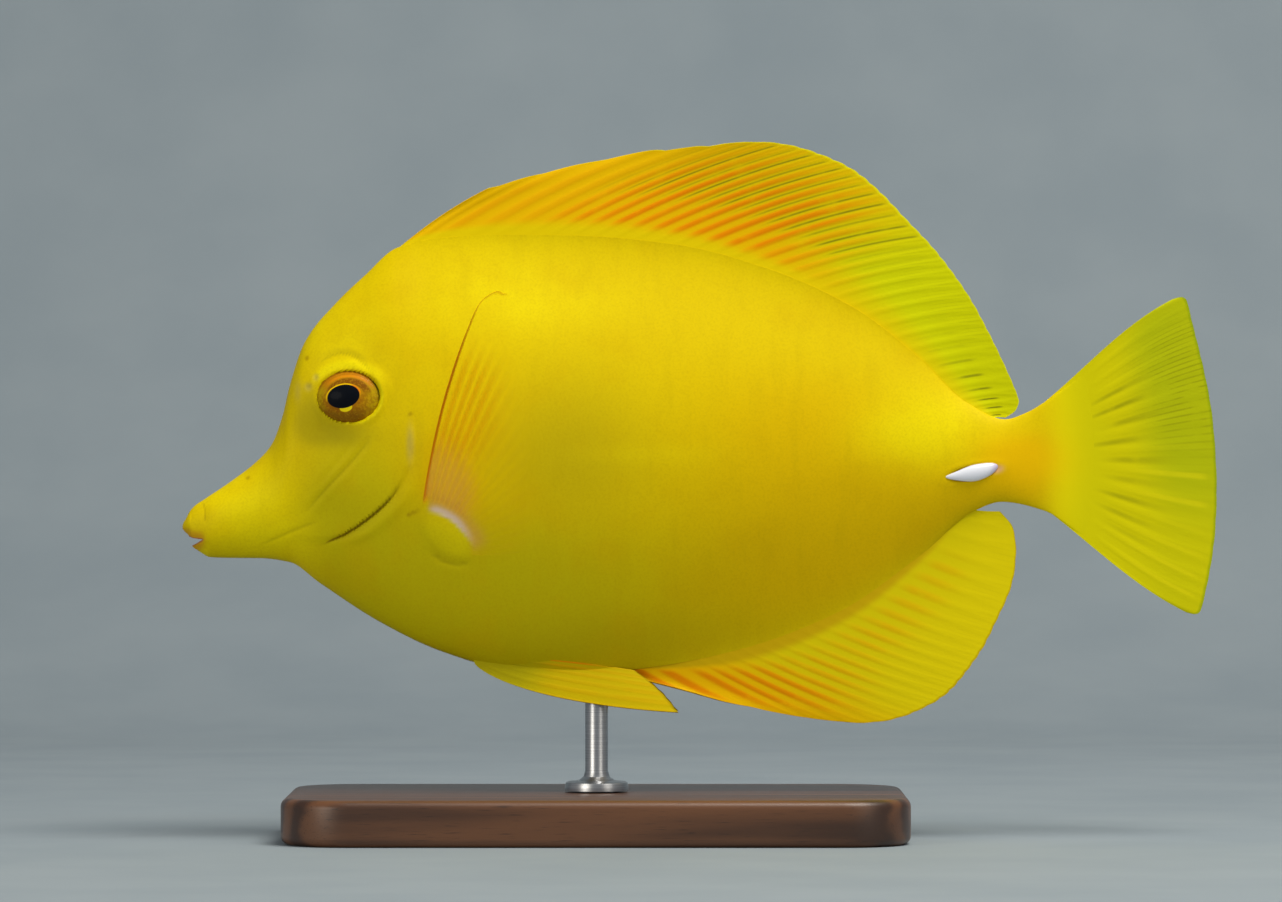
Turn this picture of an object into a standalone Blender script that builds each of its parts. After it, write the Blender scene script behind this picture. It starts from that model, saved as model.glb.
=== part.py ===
"""Yellow tang, life size, held level on a plain display stand.

The head points to -X and the left flank to -Y. The origin is on the floor, under the
middle of the fish's length. Body and fin shapes are given in millimetres in the fish's
own side view: x behind the tip of the snout, z above the long axis through the tail root.
"""

import math

import bmesh
import bpy
import numpy as np
from mathutils import Matrix, Vector

MM = 0.001

# Driving dimensions, in millimetres.
TOTAL_LENGTH = 180.0
BASE_LENGTH = 108.0
BASE_WIDTH = 62.0
BASE_THICKNESS = 8.0
BASE_CORNER = 12.0
BASE_EDGE = 1.5
FIN_CLEARANCE = 12.0
GAP = 0.3

# Lines of the body in side view, as (x, z). The back and belly leave out the fins.
BACK_LINE = [
    (0.5, -10.2), (1.25, -8.85), (2.0, -8.0), (3.9, -6.7), (8.2, -3.8), (13.4, 0.3),
    (15.5, 2.8), (17.4, 7.8), (18.6, 12.9), (21.2, 20.5), (26.5, 27.2), (31.7, 32.2),
    (37.1, 36.9), (44.7, 38.8), (56.0, 39.4), (69.1, 39.2), (85.6, 37.7), (102.5, 33.2),
    (116.8, 26.6), (127.4, 18.5), (136.3, 10.1), (143.1, 7.1), (146.9, 8.3), (150.1, 10.2),
]
BELLY_LINE = [
    (0.5, -12.5), (1.6, -14.6), (2.7, -15.7), (3.6, -16.4), (4.6, -16.9), (8.2, -17.05),
    (13.4, -17.1), (18.6, -17.8), (23.8, -21.4), (34.3, -28.2), (44.7, -33.2), (55.2, -36.2),
    (69.1, -37.4), (81.6, -36.2), (97.0, -33.1), (114.2, -26.5), (128.5, -16.5), (137.9, -8.8),
    (142.5, -7.3), (150.1, -8.9),
]
HALF_WIDTH = [
    (0.5, 1.9), (3.0, 3.1), (5.6, 3.9), (10.8, 4.6), (18.6, 6.2), (26.5, 7.7), (40.4, 9.8),
    (50.0, 10.6), (60.0, 10.9), (70.0, 10.7), (94.0, 8.9), (118.0, 5.9), (137.0, 3.4),
    (143.0, 2.7), (150.1, 1.75),
]
# How sharply each cross-section tapers to the back and to the belly: 1 is an ellipse.
BACK_TAPER = [
    (0.5, 1.0), (20.0, 1.0), (32.0, 1.35), (44.0, 2.2), (80.0, 2.5), (120.0, 2.3), (134.0, 1.6),
    (143.0, 1.1), (150.1, 1.0),
]
BELLY_TAPER = [(0.5, 1.0), (60.0, 1.05), (78.0, 1.7), (95.0, 2.1), (125.0, 2.0), (140.0, 1.1), (150.1, 1.0)]
# Half widths of the narrow flats along the back and the belly, where the fins stand.
BACK_FLAT = [(0.5, 0.4), (34.0, 0.5), (40.0, 0.95), (150.1, 0.75)]
BELLY_FLAT = [(0.5, 0.4), (70.0, 0.6), (78.0, 0.9), (150.1, 0.75)]

# The gill cover's rear edge, from the nape down to the throat, which parts head and trunk.
GILL_LINE = [
    (35.5, 48.0), (36.0, 36.0), (37.8, 24.0), (39.6, 12.0), (40.3, 4.5), (40.0, -0.2),
    (38.7, -3.1), (36.4, -6.5), (32.9, -9.75), (28.9, -12.5), (25.2, -14.3), (23.2, -16.5),
    (21.8, -25.0),
]
TAIL_ROOT_START = 131.0
TAIL_ROOT_END = 150.1

# Distance between the rings of each part of the body, and the steps down one side of a ring.
RINGS = {"head": 1.9, "trunk": 4.0, "tail_root": 2.4}
RING_SIDE_STEPS = 12
# Half width of cutters that pass through the whole fish.
CUTTER_HALF = 20.0
# How far head and trunk overlap before the gill line parts them.
GILL_OVERLAP = 2.0

# Eye: centre, half length, half height and half depth of the lens-shaped eyeball.
EYE_X, EYE_Z = 29.2, 10.95
EYE_RADII = (5.6, 2.1, 4.5)
EYE_SINK = 1.0
EYE_YAW = math.radians(9)
EYE_ROLL = math.radians(6)
# The raised rim of the socket: its radius, how far out of the eyeball and of the flank it lies.
ORBIT_RIM_RADIUS = 0.55
ORBIT_RIM_OUT = 0.35
ORBIT_RIM_RISE = 0.12
ORBIT_RIM_STEPS = 24

# Mouth: the opening of the gape, and the rolls of the lips.
GAPE = [(-2.0, -12.8), (1.0, -13.25), (3.6, -13.8), (1.7, -14.85), (-2.0, -15.4)]
UPPER_LIP = {"front": (0.0, -11.9), "corner": (4.2, -12.9), "half_width": 2.6, "radius": 0.95}
LOWER_LIP = {"front": (1.45, -15.35), "corner": (4.4, -14.75), "half_width": 2.2, "radius": 0.65}
LIP_STEPS = 12
NOSTRILS = [((22.1, 12.6), 0.5), ((23.4, 14.3), 0.4)]

# White spine that folds forward into a slot on each side of the tail root.
TAIL_SPINE_X, TAIL_SPINE_Z = 137.2, -2.2
TAIL_SPINE_RADII = (4.7, 0.95, 1.45)
TAIL_SPINE_PITCH = math.radians(-12)
TAIL_SPINE_YAW = math.radians(-7)

# Dorsal fin: its margin, the starts of its spines, the first and last start and the number
# of its soft rays, and the angles at which the rays sweep back.
DORSAL_MARGIN = [
    (36.4, 36.6), (42.1, 41.1), (50.8, 46.3), (57.4, 48.6), (68.6, 51.4), (79.0, 53.6),
    (89.1, 54.6), (99.6, 55.4), (107.2, 54.5), (115.5, 51.3), (120.8, 47.3), (126.0, 41.9),
    (131.3, 36.2), (136.5, 29.1), (140.0, 22.8), (143.0, 16.6), (144.9, 12.2), (145.5, 10.2),
    (145.1, 8.9), (144.2, 7.9), (143.0, 7.6), (142.0, 7.4),
]
DORSAL_SPINES = [38.4, 41.0, 45.0, 50.8, 55.9]
DORSAL_SOFT = (59.9, 141.0, 25)
DORSAL_SWEEP = [
    (38.4, 34.0), (41.0, 30.5), (45.0, 28.0), (55.9, 24.5), (76.1, 21.0), (94.2, 17.5),
    (102.5, 14.5), (116.8, 11.5), (131.8, 9.5), (137.0, 7.0), (139.6, 5.0), (141.0, 3.0),
]
# Anal fin, in the same terms.
ANAL_MARGIN = [
    (70.0, -37.3), (75.0, -37.6), (81.0, -38.6), (86.5, -39.9), (97.0, -42.8), (104.4, -44.2),
    (112.6, -45.4), (117.9, -45.8), (123.1, -45.3), (128.3, -43.5), (133.5, -40.2),
    (138.7, -33.6), (141.4, -28.4), (144.0, -22.6), (145.0, -17.4), (144.8, -13.2),
    (144.1, -11.0), (142.8, -9.6), (141.0, -9.1), (138.6, -8.9), (136.5, -9.0),
]
ANAL_SPINES = [76.5, 79.4, 83.2]
ANAL_SOFT = (87.6, 137.6, 20)
ANAL_SWEEP = [
    (76.5, -30.0), (81.9, -29.0), (88.2, -27.0), (98.5, -22.0), (107.0, -20.5), (124.8, -20.5),
    (131.0, -18.0), (134.5, -12.0), (137.6, -6.0),
]
# A gentle sideways wave of these two fins: its height at the margin and its length.
DORSAL_WAVE = (0.7, 9.0)
ANAL_WAVE = (0.6, 8.0)
MEDIAN_BOW = 0.02
# Tail fin: the root line and the rear margin, from the upper corner to the lower.
TAIL_ROOT_LINE = ((150.4, 10.4), (150.4, 0.8), (150.4, -8.7))
TAIL_MARGIN = [
    (174.2, 28.2), (176.0, 23.0), (177.6, 16.5), (179.2, 8.0), (180.0, -3.0), (179.7, -13.0),
    (178.5, -21.0), (176.7, -26.9),
]
TAIL_BULGE = 0.042
TAIL_CURL = 0.8
TAIL_RAYS = 18

# Paired fins of the left side.
PECTORAL_ROOT = ((42.1, -8.2), (47.6, -10.6), (50.4, -16.2))
PECTORAL_LENGTH = 40.9
PECTORAL_SHARES = [(0.0, 0.94), (0.09, 0.96), (0.29, 0.875), (0.5, 0.67), (0.75, 0.45), (1.0, 0.32)]
PECTORAL_ANGLES = [(0.0, 73.5), (0.3, 63.0), (0.6, 43.0), (1.0, 4.0)]
PECTORAL_RAYS = 15
PECTORAL_SWING = (22.0, 13.0)
PECTORAL_BOW = (0.04, -0.03)
PECTORAL_SINK = 1.2
PECTORAL_OUT = 0.6
PECTORAL_LOBE = {"x": 46.2, "z": -13.0, "radii": (6.4, 1.5, 3.4), "pitch": math.radians(43)}
PELVIC_ROOT = ((50.6, -34.4), (56.0, -33.4))
PELVIC_TIPS = [(86.2, -43.8), (84.9, -42.2), (83.6, -40.7), (82.0, -39.2), (80.4, -37.9), (78.6, -36.6)]
# How far its first and its last ray bow up, in millimetres, mostly in their inner half.
PELVIC_BOWS = (-2.9, 1.2)
PELVIC_LEAN = 0.5
PELVIC_FLARE = 3.8
PELVIC_SINK = 1.0
PELVIC_RISE = 1.0

# Fins: half thickness of rays and membrane at the root and at the margin.
RAY_HALF = (0.72, 0.36)
MEMBRANE_HALF = (0.45, 0.26)
RAY_SHARE = 0.22
RAY_ROWS = 5
TAIL_RAY_ROWS = 7

ROD_X = 72.0
ROD_RADIUS = 2.0
ROD_STEPS = 24
# How far the rod runs up into the belly before the belly's own shape is cut out of its top.
ROD_SINK = 2.0
FLANGE_RADIUS = 5.5
FLANGE_HEIGHT = 1.6

LOWEST_FIN = -45.8
AXIS_HEIGHT = BASE_THICKNESS + FIN_CLEARANCE - LOWEST_FIN


def clear_scene():
    for obj in list(bpy.data.objects):
        bpy.data.objects.remove(obj)


def smooth_line(points):
    """A monotone cubic through (x, value) points, as a function of x."""
    xs, vs = np.array(points, float).T
    step = np.diff(xs)
    slope = np.diff(vs) / step
    tangent = np.concatenate([slope[:1], np.zeros(len(xs) - 2), slope[-1:]])
    for i in range(1, len(xs) - 1):
        before, after = slope[i - 1], slope[i]
        if before * after > 0:
            first = 2 * step[i] + step[i - 1]
            second = step[i] + 2 * step[i - 1]
            tangent[i] = (first + second) / (first / before + second / after)

    def value(x):
        x = min(max(x, xs[0]), xs[-1])
        i = min(int(np.searchsorted(xs, x, side="right")) - 1, len(step) - 1)
        t = (x - xs[i]) / step[i]
        return float(
            vs[i] * (1 + 2 * t) * (1 - t) ** 2
            + vs[i + 1] * t * t * (3 - 2 * t)
            + step[i] * tangent[i] * t * (1 - t) ** 2
            - step[i] * tangent[i + 1] * t * t * (1 - t)
        )

    return value


back_line = smooth_line(BACK_LINE)
belly_line = smooth_line(BELLY_LINE)
widest = smooth_line(HALF_WIDTH)
back_taper = smooth_line(BACK_TAPER)
belly_taper = smooth_line(BELLY_TAPER)
back_flat = smooth_line(BACK_FLAT)
belly_flat = smooth_line(BELLY_FLAT)


def curve_through(points, per_span=6):
    """A Catmull-Rom curve through 2D points, as a list of points."""
    given = [Vector(p) for p in points]
    ends = [2 * given[0] - given[1], *given, 2 * given[-1] - given[-2]]
    line = []
    for a, b, c, d in zip(ends, ends[1:], ends[2:], ends[3:]):
        for k in range(per_span):
            t = k / per_span
            line.append(
                0.5 * (2 * b + (c - a) * t + (2 * a - 5 * b + 4 * c - d) * t * t
                       + (3 * b - a - 3 * c + d) * t ** 3)
            )
    return [*line, given[-1]]


def flank(x, z):
    """Half width of the body at a point of its side view."""
    top, bottom = back_line(x), belly_line(x)
    level = (z - (top + bottom) / 2) / ((top - bottom) / 2)
    level = min(max(level, -1.0), 1.0)
    share = (level + 1) / 2
    flat = belly_flat(x) + (back_flat(x) - belly_flat(x)) * share
    taper = belly_taper(x) + (back_taper(x) - belly_taper(x)) * share
    return flat + (widest(x) - flat) * (1 - level * level) ** (taper / 2)


def place(x, y, z):
    """World position, in metres, of a point given in the fish's millimetres."""
    return Vector((x - TOTAL_LENGTH / 2, y, z + AXIS_HEIGHT)) * MM


def new_object(name, bm):
    bmesh.ops.recalc_face_normals(bm, faces=bm.faces)
    mesh = bpy.data.meshes.new(name)
    bm.to_mesh(mesh)
    bm.free()
    obj = bpy.data.objects.new(name, mesh)
    bpy.context.scene.collection.objects.link(obj)
    return obj


def ring_stations(start, end, spacing):
    """Places of the rings, as far apart along the back and the belly as spacing says."""
    fine = np.linspace(start, end, 400)
    back = np.array([back_line(x) for x in fine])
    belly = np.array([belly_line(x) for x in fine])
    steps = np.hypot(np.diff(fine), np.maximum(abs(np.diff(back)), abs(np.diff(belly))))
    run = np.concatenate([[0], np.cumsum(steps)])
    count = max(2, round(run[-1] / spacing) + 1)
    return np.interp(np.linspace(0, run[-1], count), run, fine)


def body_loft(name, start, end, spacing, grow=0.0):
    """The body between two places, lofted through its cross-sections and grown by grow."""
    bm = bmesh.new()
    rings = []
    for x in ring_stations(start, end, spacing):
        top, bottom = back_line(x), belly_line(x)
        left, right = [], []
        for k in range(RING_SIDE_STEPS + 1):
            level = math.cos(math.pi * k / RING_SIDE_STEPS)
            z = (top + bottom) / 2 + (top - bottom) / 2 * level
            y = flank(x, z) + grow
            left.append(bm.verts.new(place(x, -y, z + grow * level)))
            right.append(bm.verts.new(place(x, y, z + grow * level)))
        rings.append((left, right))
    for (left_a, right_a), (left_b, right_b) in zip(rings, rings[1:]):
        for k in range(RING_SIDE_STEPS):
            bm.faces.new((left_a[k], left_a[k + 1], left_b[k + 1], left_b[k]))
            bm.faces.new((right_a[k], right_b[k], right_b[k + 1], right_a[k + 1]))
        for k in (0, RING_SIDE_STEPS):
            bm.faces.new((left_a[k], left_b[k], right_b[k], right_a[k]))
    for left, right in (rings[0], rings[-1]):
        for k in range(RING_SIDE_STEPS):
            bm.faces.new((left[k], right[k], right[k + 1], left[k + 1]))
    return new_object(name, bm)


def evaluated_mesh(obj):
    graph = bpy.context.evaluated_depsgraph_get()
    graph.update()
    return bpy.data.meshes.new_from_object(obj.evaluated_get(graph))


def as_mesh(curve_object):
    """Replaces a curve by its own closed mesh, so that a Boolean can take it."""
    name = curve_object.name
    curve_object.name = name + "_line"
    mesh = evaluated_mesh(curve_object)
    bm = bmesh.new()
    bm.from_mesh(mesh)
    bmesh.ops.remove_doubles(bm, verts=bm.verts, dist=1e-6)
    obj = new_object(name, bm)
    obj.matrix_world = curve_object.matrix_world
    bpy.data.meshes.remove(mesh)
    bpy.data.objects.remove(curve_object)
    return obj


def combine(obj, others, operation, solver="EXACT"):
    """One Boolean of obj with all the others, applied. The others are removed."""
    group = bpy.data.collections.new(obj.name + "_pieces")
    for other in others:
        group.objects.link(other)
    modifier = obj.modifiers.new(operation.title(), "BOOLEAN")
    modifier.operation = operation
    modifier.operand_type = "COLLECTION"
    modifier.collection = group
    modifier.solver = solver
    mesh = evaluated_mesh(obj)
    obj.modifiers.clear()
    obj.data = mesh
    for other in others:
        bpy.data.objects.remove(other)
    bpy.data.collections.remove(group)
    keep_largest(obj)
    return obj


def keep_largest(obj):
    """Drops all but the largest closed surface of a mesh."""
    bm = bmesh.new()
    bm.from_mesh(obj.data)
    bmesh.ops.remove_doubles(bm, verts=bm.verts, dist=1e-7)
    bmesh.ops.triangulate(bm, faces=bm.faces)
    unseen = set(bm.faces)
    shells = []
    while unseen:
        shell, front = set(), [unseen.pop()]
        while front:
            face = front.pop()
            shell.add(face)
            for near in {f for edge in face.edges for f in edge.link_faces} & unseen:
                unseen.discard(near)
                front.append(near)
        shells.append(shell)
    shells.sort(key=lambda shell: sum(face.calc_area() for face in shell))
    scraps = [face for shell in shells[:-1] for face in shell]
    bmesh.ops.delete(bm, geom=scraps, context="FACES")
    bm.to_mesh(obj.data)
    bm.free()


def mirrored(obj, name):
    """The same piece on the fish's right side."""
    mesh = obj.data.copy()
    mesh.transform(Matrix.Scale(-1, 4, (0, 1, 0)) @ obj.matrix_world)
    mesh.flip_normals()
    twin = bpy.data.objects.new(name, mesh)
    bpy.context.scene.collection.objects.link(twin)
    return twin


def prism(name, outline, half_thickness):
    """A flat outline of the side view, extruded to both sides of the fish."""
    curve = bpy.data.curves.new(name, "CURVE")
    curve.dimensions = "2D"
    curve.fill_mode = "BOTH"
    curve.extrude = half_thickness * MM
    spline = curve.splines.new("POLY")
    spline.points.add(len(outline) - 1)
    for point, (x, z) in zip(spline.points, outline):
        point.co = ((x - TOTAL_LENGTH / 2) * MM, (z + AXIS_HEIGHT) * MM, 0, 1)
    spline.use_cyclic_u = True
    obj = bpy.data.objects.new(name, curve)
    obj.rotation_euler = (math.pi / 2, 0, 0)
    bpy.context.scene.collection.objects.link(obj)
    bpy.context.view_layer.update()
    return as_mesh(obj)


def tube(name, points, radius, resolution=2):
    """A round bar along points given in the fish's millimetres."""
    curve = bpy.data.curves.new(name, "CURVE")
    curve.dimensions = "3D"
    curve.bevel_depth = radius * MM
    curve.bevel_resolution = resolution
    curve.use_fill_caps = True
    spline = curve.splines.new("POLY")
    spline.points.add(len(points) - 1)
    for point, where in zip(spline.points, points):
        point.co = (*place(*where), 1)
    obj = bpy.data.objects.new(name, curve)
    bpy.context.scene.collection.objects.link(obj)
    return as_mesh(obj)


def ellipsoid(name, centre, radii, turn, grow=0.0, segments=20, rings=10):
    bpy.ops.mesh.primitive_uv_sphere_add(segments=segments, ring_count=rings, radius=1)
    obj = bpy.context.object
    obj.name = name
    size = Matrix.Diagonal([(r + grow) * MM for r in radii] + [1])
    obj.data.transform(Matrix.Translation(place(*centre)) @ turn @ size)
    return obj


def turn_of(yaw=0.0, pitch=0.0, roll=0.0):
    """Yaw about Z, then pitch about Y, then roll about X."""
    return (
        Matrix.Rotation(yaw, 4, "Z") @ Matrix.Rotation(pitch, 4, "Y") @ Matrix.Rotation(roll, 4, "X")
    )


def eye_piece(name, grow=0.0):
    """The left eyeball, or its socket when grown by the gap."""
    depth = flank(EYE_X, EYE_Z) - EYE_SINK
    turn = turn_of(yaw=-EYE_YAW, roll=-EYE_ROLL)
    return ellipsoid(name, (EYE_X, -depth, EYE_Z), EYE_RADII, turn, grow, segments=24, rings=10)


def orbit_rim(name):
    """The raised edge of the left eye's socket, which follows the flank."""
    points = []
    for k in range(ORBIT_RIM_STEPS):
        angle = 2 * math.pi * k / ORBIT_RIM_STEPS
        x = EYE_X + (EYE_RADII[0] + ORBIT_RIM_OUT) * math.cos(angle)
        z = EYE_Z + (EYE_RADII[2] + ORBIT_RIM_OUT) * math.sin(angle)
        points.append((x, ORBIT_RIM_RISE - flank(x, z), z))
    curve = bpy.data.curves.new(name, "CURVE")
    curve.dimensions = "3D"
    curve.bevel_depth = ORBIT_RIM_RADIUS * MM
    curve.bevel_resolution = 1
    spline = curve.splines.new("POLY")
    spline.points.add(len(points) - 1)
    for point, where in zip(spline.points, points):
        point.co = (*place(*where), 1)
    spline.use_cyclic_u = True
    obj = bpy.data.objects.new(name, curve)
    bpy.context.scene.collection.objects.link(obj)
    return as_mesh(obj)


def lip(name, front, corner, half_width, radius):
    """A lip's roll, from the left corner of the mouth round the front to the right one."""
    points = []
    for k in range(LIP_STEPS + 1):
        angle = math.pi * (k / LIP_STEPS - 0.5)
        reach = math.cos(angle)
        x = corner[0] + (front[0] + radius - corner[0]) * reach
        z = corner[1] + (front[1] - corner[1]) * reach
        points.append((x, half_width * math.sin(angle), z))
    return tube(name, points, radius)


def gill_outline(offset):
    """The gill cover's edge, moved back by offset and closed far in front of the head."""
    line = curve_through(GILL_LINE, per_span=4)
    moved = []
    for before, here, after in zip([line[0], *line], line, [*line[1:], line[-1]]):
        along = (after - before).normalized()
        moved.append((here.x - along.y * offset, here.y + along.x * offset))
    return [*moved, (-CUTTER_HALF, moved[-1][1]), (-CUTTER_HALF, moved[0][1])]


def make_head():
    head = body_loft("head", BACK_LINE[0][0], max(x for x, z in GILL_LINE) + GILL_OVERLAP, RINGS["head"])
    rim = orbit_rim("orbit_rim_left")
    pieces = [
        lip("upper_lip", **UPPER_LIP),
        lip("lower_lip", **LOWER_LIP),
        rim,
        mirrored(rim, "orbit_rim_right"),
    ]
    combine(head, pieces, "UNION")
    socket = eye_piece("socket_left", grow=GAP)
    cutters = [prism("gape", GAPE, CUTTER_HALF), socket, mirrored(socket, "socket_right")]
    for k, ((x, z), radius) in enumerate(NOSTRILS):
        hole = ellipsoid(f"nostril_{k}", (x, -flank(x, z), z), (radius,) * 3, turn_of(), segments=8, rings=6)
        cutters += [hole, mirrored(hole, f"nostril_right_{k}")]
    combine(head, cutters, "DIFFERENCE")
    return combine(head, [prism("front_half", gill_outline(0), CUTTER_HALF)], "INTERSECT")


def make_trunk():
    start = min(x for x, z in GILL_LINE) - GILL_OVERLAP
    trunk = body_loft("trunk", start, TAIL_ROOT_START - GAP, RINGS["trunk"])
    return combine(trunk, [prism("front_half", gill_outline(GAP), CUTTER_HALF)], "DIFFERENCE")


def tail_spine(name, grow=0.0):
    """The left spine of the tail root, or its slot when grown by the gap."""
    centre = (TAIL_SPINE_X, -flank(TAIL_SPINE_X, TAIL_SPINE_Z), TAIL_SPINE_Z)
    turn = turn_of(yaw=-TAIL_SPINE_YAW, pitch=TAIL_SPINE_PITCH)
    return ellipsoid(name, centre, TAIL_SPINE_RADII, turn, grow, segments=12, rings=12)


def make_tail_root():
    tail_root = body_loft("tail_root", TAIL_ROOT_START, TAIL_ROOT_END, RINGS["tail_root"])
    slot = tail_spine("slot_left", grow=GAP)
    return combine(tail_root, [slot, mirrored(slot, "slot_right")], "DIFFERENCE")


def meet(base, degrees, margin):
    """Where a ray that leaves base at this angle meets the fin's margin."""
    way = Vector((math.cos(math.radians(degrees)), math.sin(math.radians(degrees))))
    best = None
    for a, b in zip(margin, margin[1:]):
        edge = b - a
        cross = way.x * edge.y - way.y * edge.x
        if abs(cross) < 1e-9:
            continue
        offset = a - base
        along = (offset.x * edge.y - offset.y * edge.x) / cross
        share = (offset.x * way.y - offset.y * way.x) / cross
        if 0 <= share <= 1 and along > 0.5 and (best is None or along < best):
            best = along
    return base + way * best


def bowed(base, tip, bow, rows, lean=1):
    """Points from base to tip on a line that bows sideways by bow of its length.

    With a lean of 2 the bow is in the outer half, and with one of 0.5 in the inner half.
    """
    way = tip - base
    side = Vector((-way.y, way.x)) * bow * (lean + 1) ** (lean + 1) / lean ** lean
    return [base + way * t + side * t ** lean * (1 - t) for t in np.linspace(0, 1, rows)]


def ray_columns(rays):
    """Three columns for each ray, its crest and the membrane at its two sides."""
    columns = []
    last = len(rays) - 1
    for i, ray in enumerate(rays):
        before, after = rays[max(i - 1, 0)], rays[min(i + 1, last)]
        if i:
            columns.append((False, [c.lerp(b, RAY_SHARE) for c, b in zip(ray, before)]))
        columns.append((True, ray))
        if i < last:
            columns.append((False, [c.lerp(a, RAY_SHARE) for c, a in zip(ray, after)]))
    return columns


def fin(name, rays, sideways):
    """A closed fin with its rays as ridges.

    sideways(point, share, across) gives the y of the fin's middle at a point that is
    share of the way along its ray, which stands across of the way from the first to the last.
    """
    bm = bmesh.new()
    near, far = [], []
    columns = ray_columns(rays)
    for number, (is_ray, points) in enumerate(columns):
        halves = RAY_HALF if is_ray else MEMBRANE_HALF
        near.append([])
        far.append([])
        for row, point in enumerate(points):
            share = row / (len(points) - 1)
            half = halves[0] + (halves[1] - halves[0]) * share
            y = sideways(point, share, number / (len(columns) - 1))
            near[-1].append(bm.verts.new(place(point.x, y - half, point.y)))
            far[-1].append(bm.verts.new(place(point.x, y + half, point.y)))
    wide, high = len(near), len(near[0])
    for i in range(wide - 1):
        for j in range(high - 1):
            corners = [(i, j), (i + 1, j), (i + 1, j + 1), (i, j + 1)]
            a, b, c, d = (near[k][m].co for k, m in corners)
            # Both sides are split along the shorter diagonal.
            if (a - c).length > (b - d).length:
                corners = corners[1:] + corners[:1]
            for side in (near, far):
                a, b, c, d = (side[k][m] for k, m in corners)
                bm.faces.new((a, b, c))
                bm.faces.new((a, c, d))
    rim = [(i, 0) for i in range(wide)] + [(wide - 1, j) for j in range(1, high)]
    rim += [(i, high - 1) for i in range(wide - 2, -1, -1)] + [(0, j) for j in range(high - 2, 0, -1)]
    for (i, j), (k, m) in zip(rim, rim[1:] + rim[:1]):
        bm.faces.new((near[i][j], near[k][m], far[k][m], far[i][j]))
    return new_object(name, bm)


def median_rays(line, starts, sweep, margin, gap, bow):
    """Rays of a fin that stands on the back or the belly, each from its own start."""
    swept = smooth_line(sweep)
    edge = curve_through(margin)
    rays = []
    for x in starts:
        base = Vector((x, line(x) + gap))
        rays.append(bowed(base, meet(base, swept(x), edge), bow, RAY_ROWS))
    return rays


def waved(wave):
    """The sideways wave of a median fin, which grows towards its margin."""
    return lambda point, share, across: wave[0] * share ** 2 * math.sin(point.x / wave[1])


def make_dorsal_fin():
    starts = [*DORSAL_SPINES, *np.linspace(*DORSAL_SOFT)]
    rays = median_rays(back_line, starts, DORSAL_SWEEP, DORSAL_MARGIN, GAP, MEDIAN_BOW)
    return fin("dorsal_fin", rays, waved(DORSAL_WAVE))


def make_anal_fin():
    starts = [*ANAL_SPINES, *np.linspace(*ANAL_SOFT)]
    rays = median_rays(belly_line, starts, ANAL_SWEEP, ANAL_MARGIN, -GAP, -MEDIAN_BOW)
    return fin("anal_fin", rays, waved(ANAL_WAVE))


def make_tail_fin():
    root = curve_through(TAIL_ROOT_LINE, per_span=24)
    margin = curve_through(TAIL_MARGIN, per_span=12)
    rays = []
    for k in range(TAIL_RAYS):
        share = k / (TAIL_RAYS - 1)
        base = root[round(share * (len(root) - 1))]
        tip = margin[round(share * (len(margin) - 1))]
        rays.append(bowed(base, tip, TAIL_BULGE * (1 - 2 * share), TAIL_RAY_ROWS, lean=2))
    return fin("tail_fin", rays, lambda point, share, across: TAIL_CURL * share ** 2)


def make_pectoral_fin(name):
    root = curve_through(PECTORAL_ROOT, per_span=24)
    shares = smooth_line(PECTORAL_SHARES)
    angles = smooth_line(PECTORAL_ANGLES)
    rays = []
    for k in range(PECTORAL_RAYS):
        share = k / (PECTORAL_RAYS - 1)
        angle = math.radians(angles(share))
        way = Vector((math.cos(angle), math.sin(angle)))
        base = root[round(share * (len(root) - 1))]
        tip = base + way * PECTORAL_LENGTH * shares(share)
        bow = PECTORAL_BOW[0] + (PECTORAL_BOW[1] - PECTORAL_BOW[0]) * share
        rays.append(bowed(base - way * PECTORAL_SINK, tip, bow, RAY_ROWS))
    hinge = Vector(PECTORAL_ROOT[1])
    rooted = flank(*hinge)

    def sideways(point, share, across):
        reach = share * (PECTORAL_LENGTH * shares(across) + PECTORAL_SINK)
        swing = PECTORAL_SWING[0] + (PECTORAL_SWING[1] - PECTORAL_SWING[0]) * across
        return -rooted - PECTORAL_OUT - max(reach - PECTORAL_SINK, 0) * math.tan(math.radians(swing))

    blade = fin(name, rays, sideways)
    lobe = PECTORAL_LOBE
    centre = (lobe["x"], -flank(lobe["x"], lobe["z"]), lobe["z"])
    pad = ellipsoid("lobe", centre, lobe["radii"], turn_of(pitch=lobe["pitch"]), segments=14, rings=8)
    return combine(blade, [pad], "UNION")


def make_pelvic_fin(name):
    start, end = (Vector(p) for p in PELVIC_ROOT)
    rays = []
    for k, tip in enumerate(PELVIC_TIPS):
        share = k / (len(PELVIC_TIPS) - 1)
        base = start.lerp(end, share)
        rise = PELVIC_BOWS[0] * (1 - share) ** 2 + PELVIC_BOWS[1] * share ** 2
        rays.append(bowed(base, Vector(tip), rise / (Vector(tip) - base).length, RAY_ROWS, PELVIC_LEAN))

    def sideways(point, share, across):
        low = belly_line(point.x) + PELVIC_RISE
        side = flank(point.x, max(point.y, low))
        reach = max(point.x - start.x, 0) / (max(x for x, z in PELVIC_TIPS) - start.x)
        return PELVIC_SINK - side - (PELVIC_SINK + PELVIC_FLARE) * reach ** 0.7

    return fin(name, rays, sideways)


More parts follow.
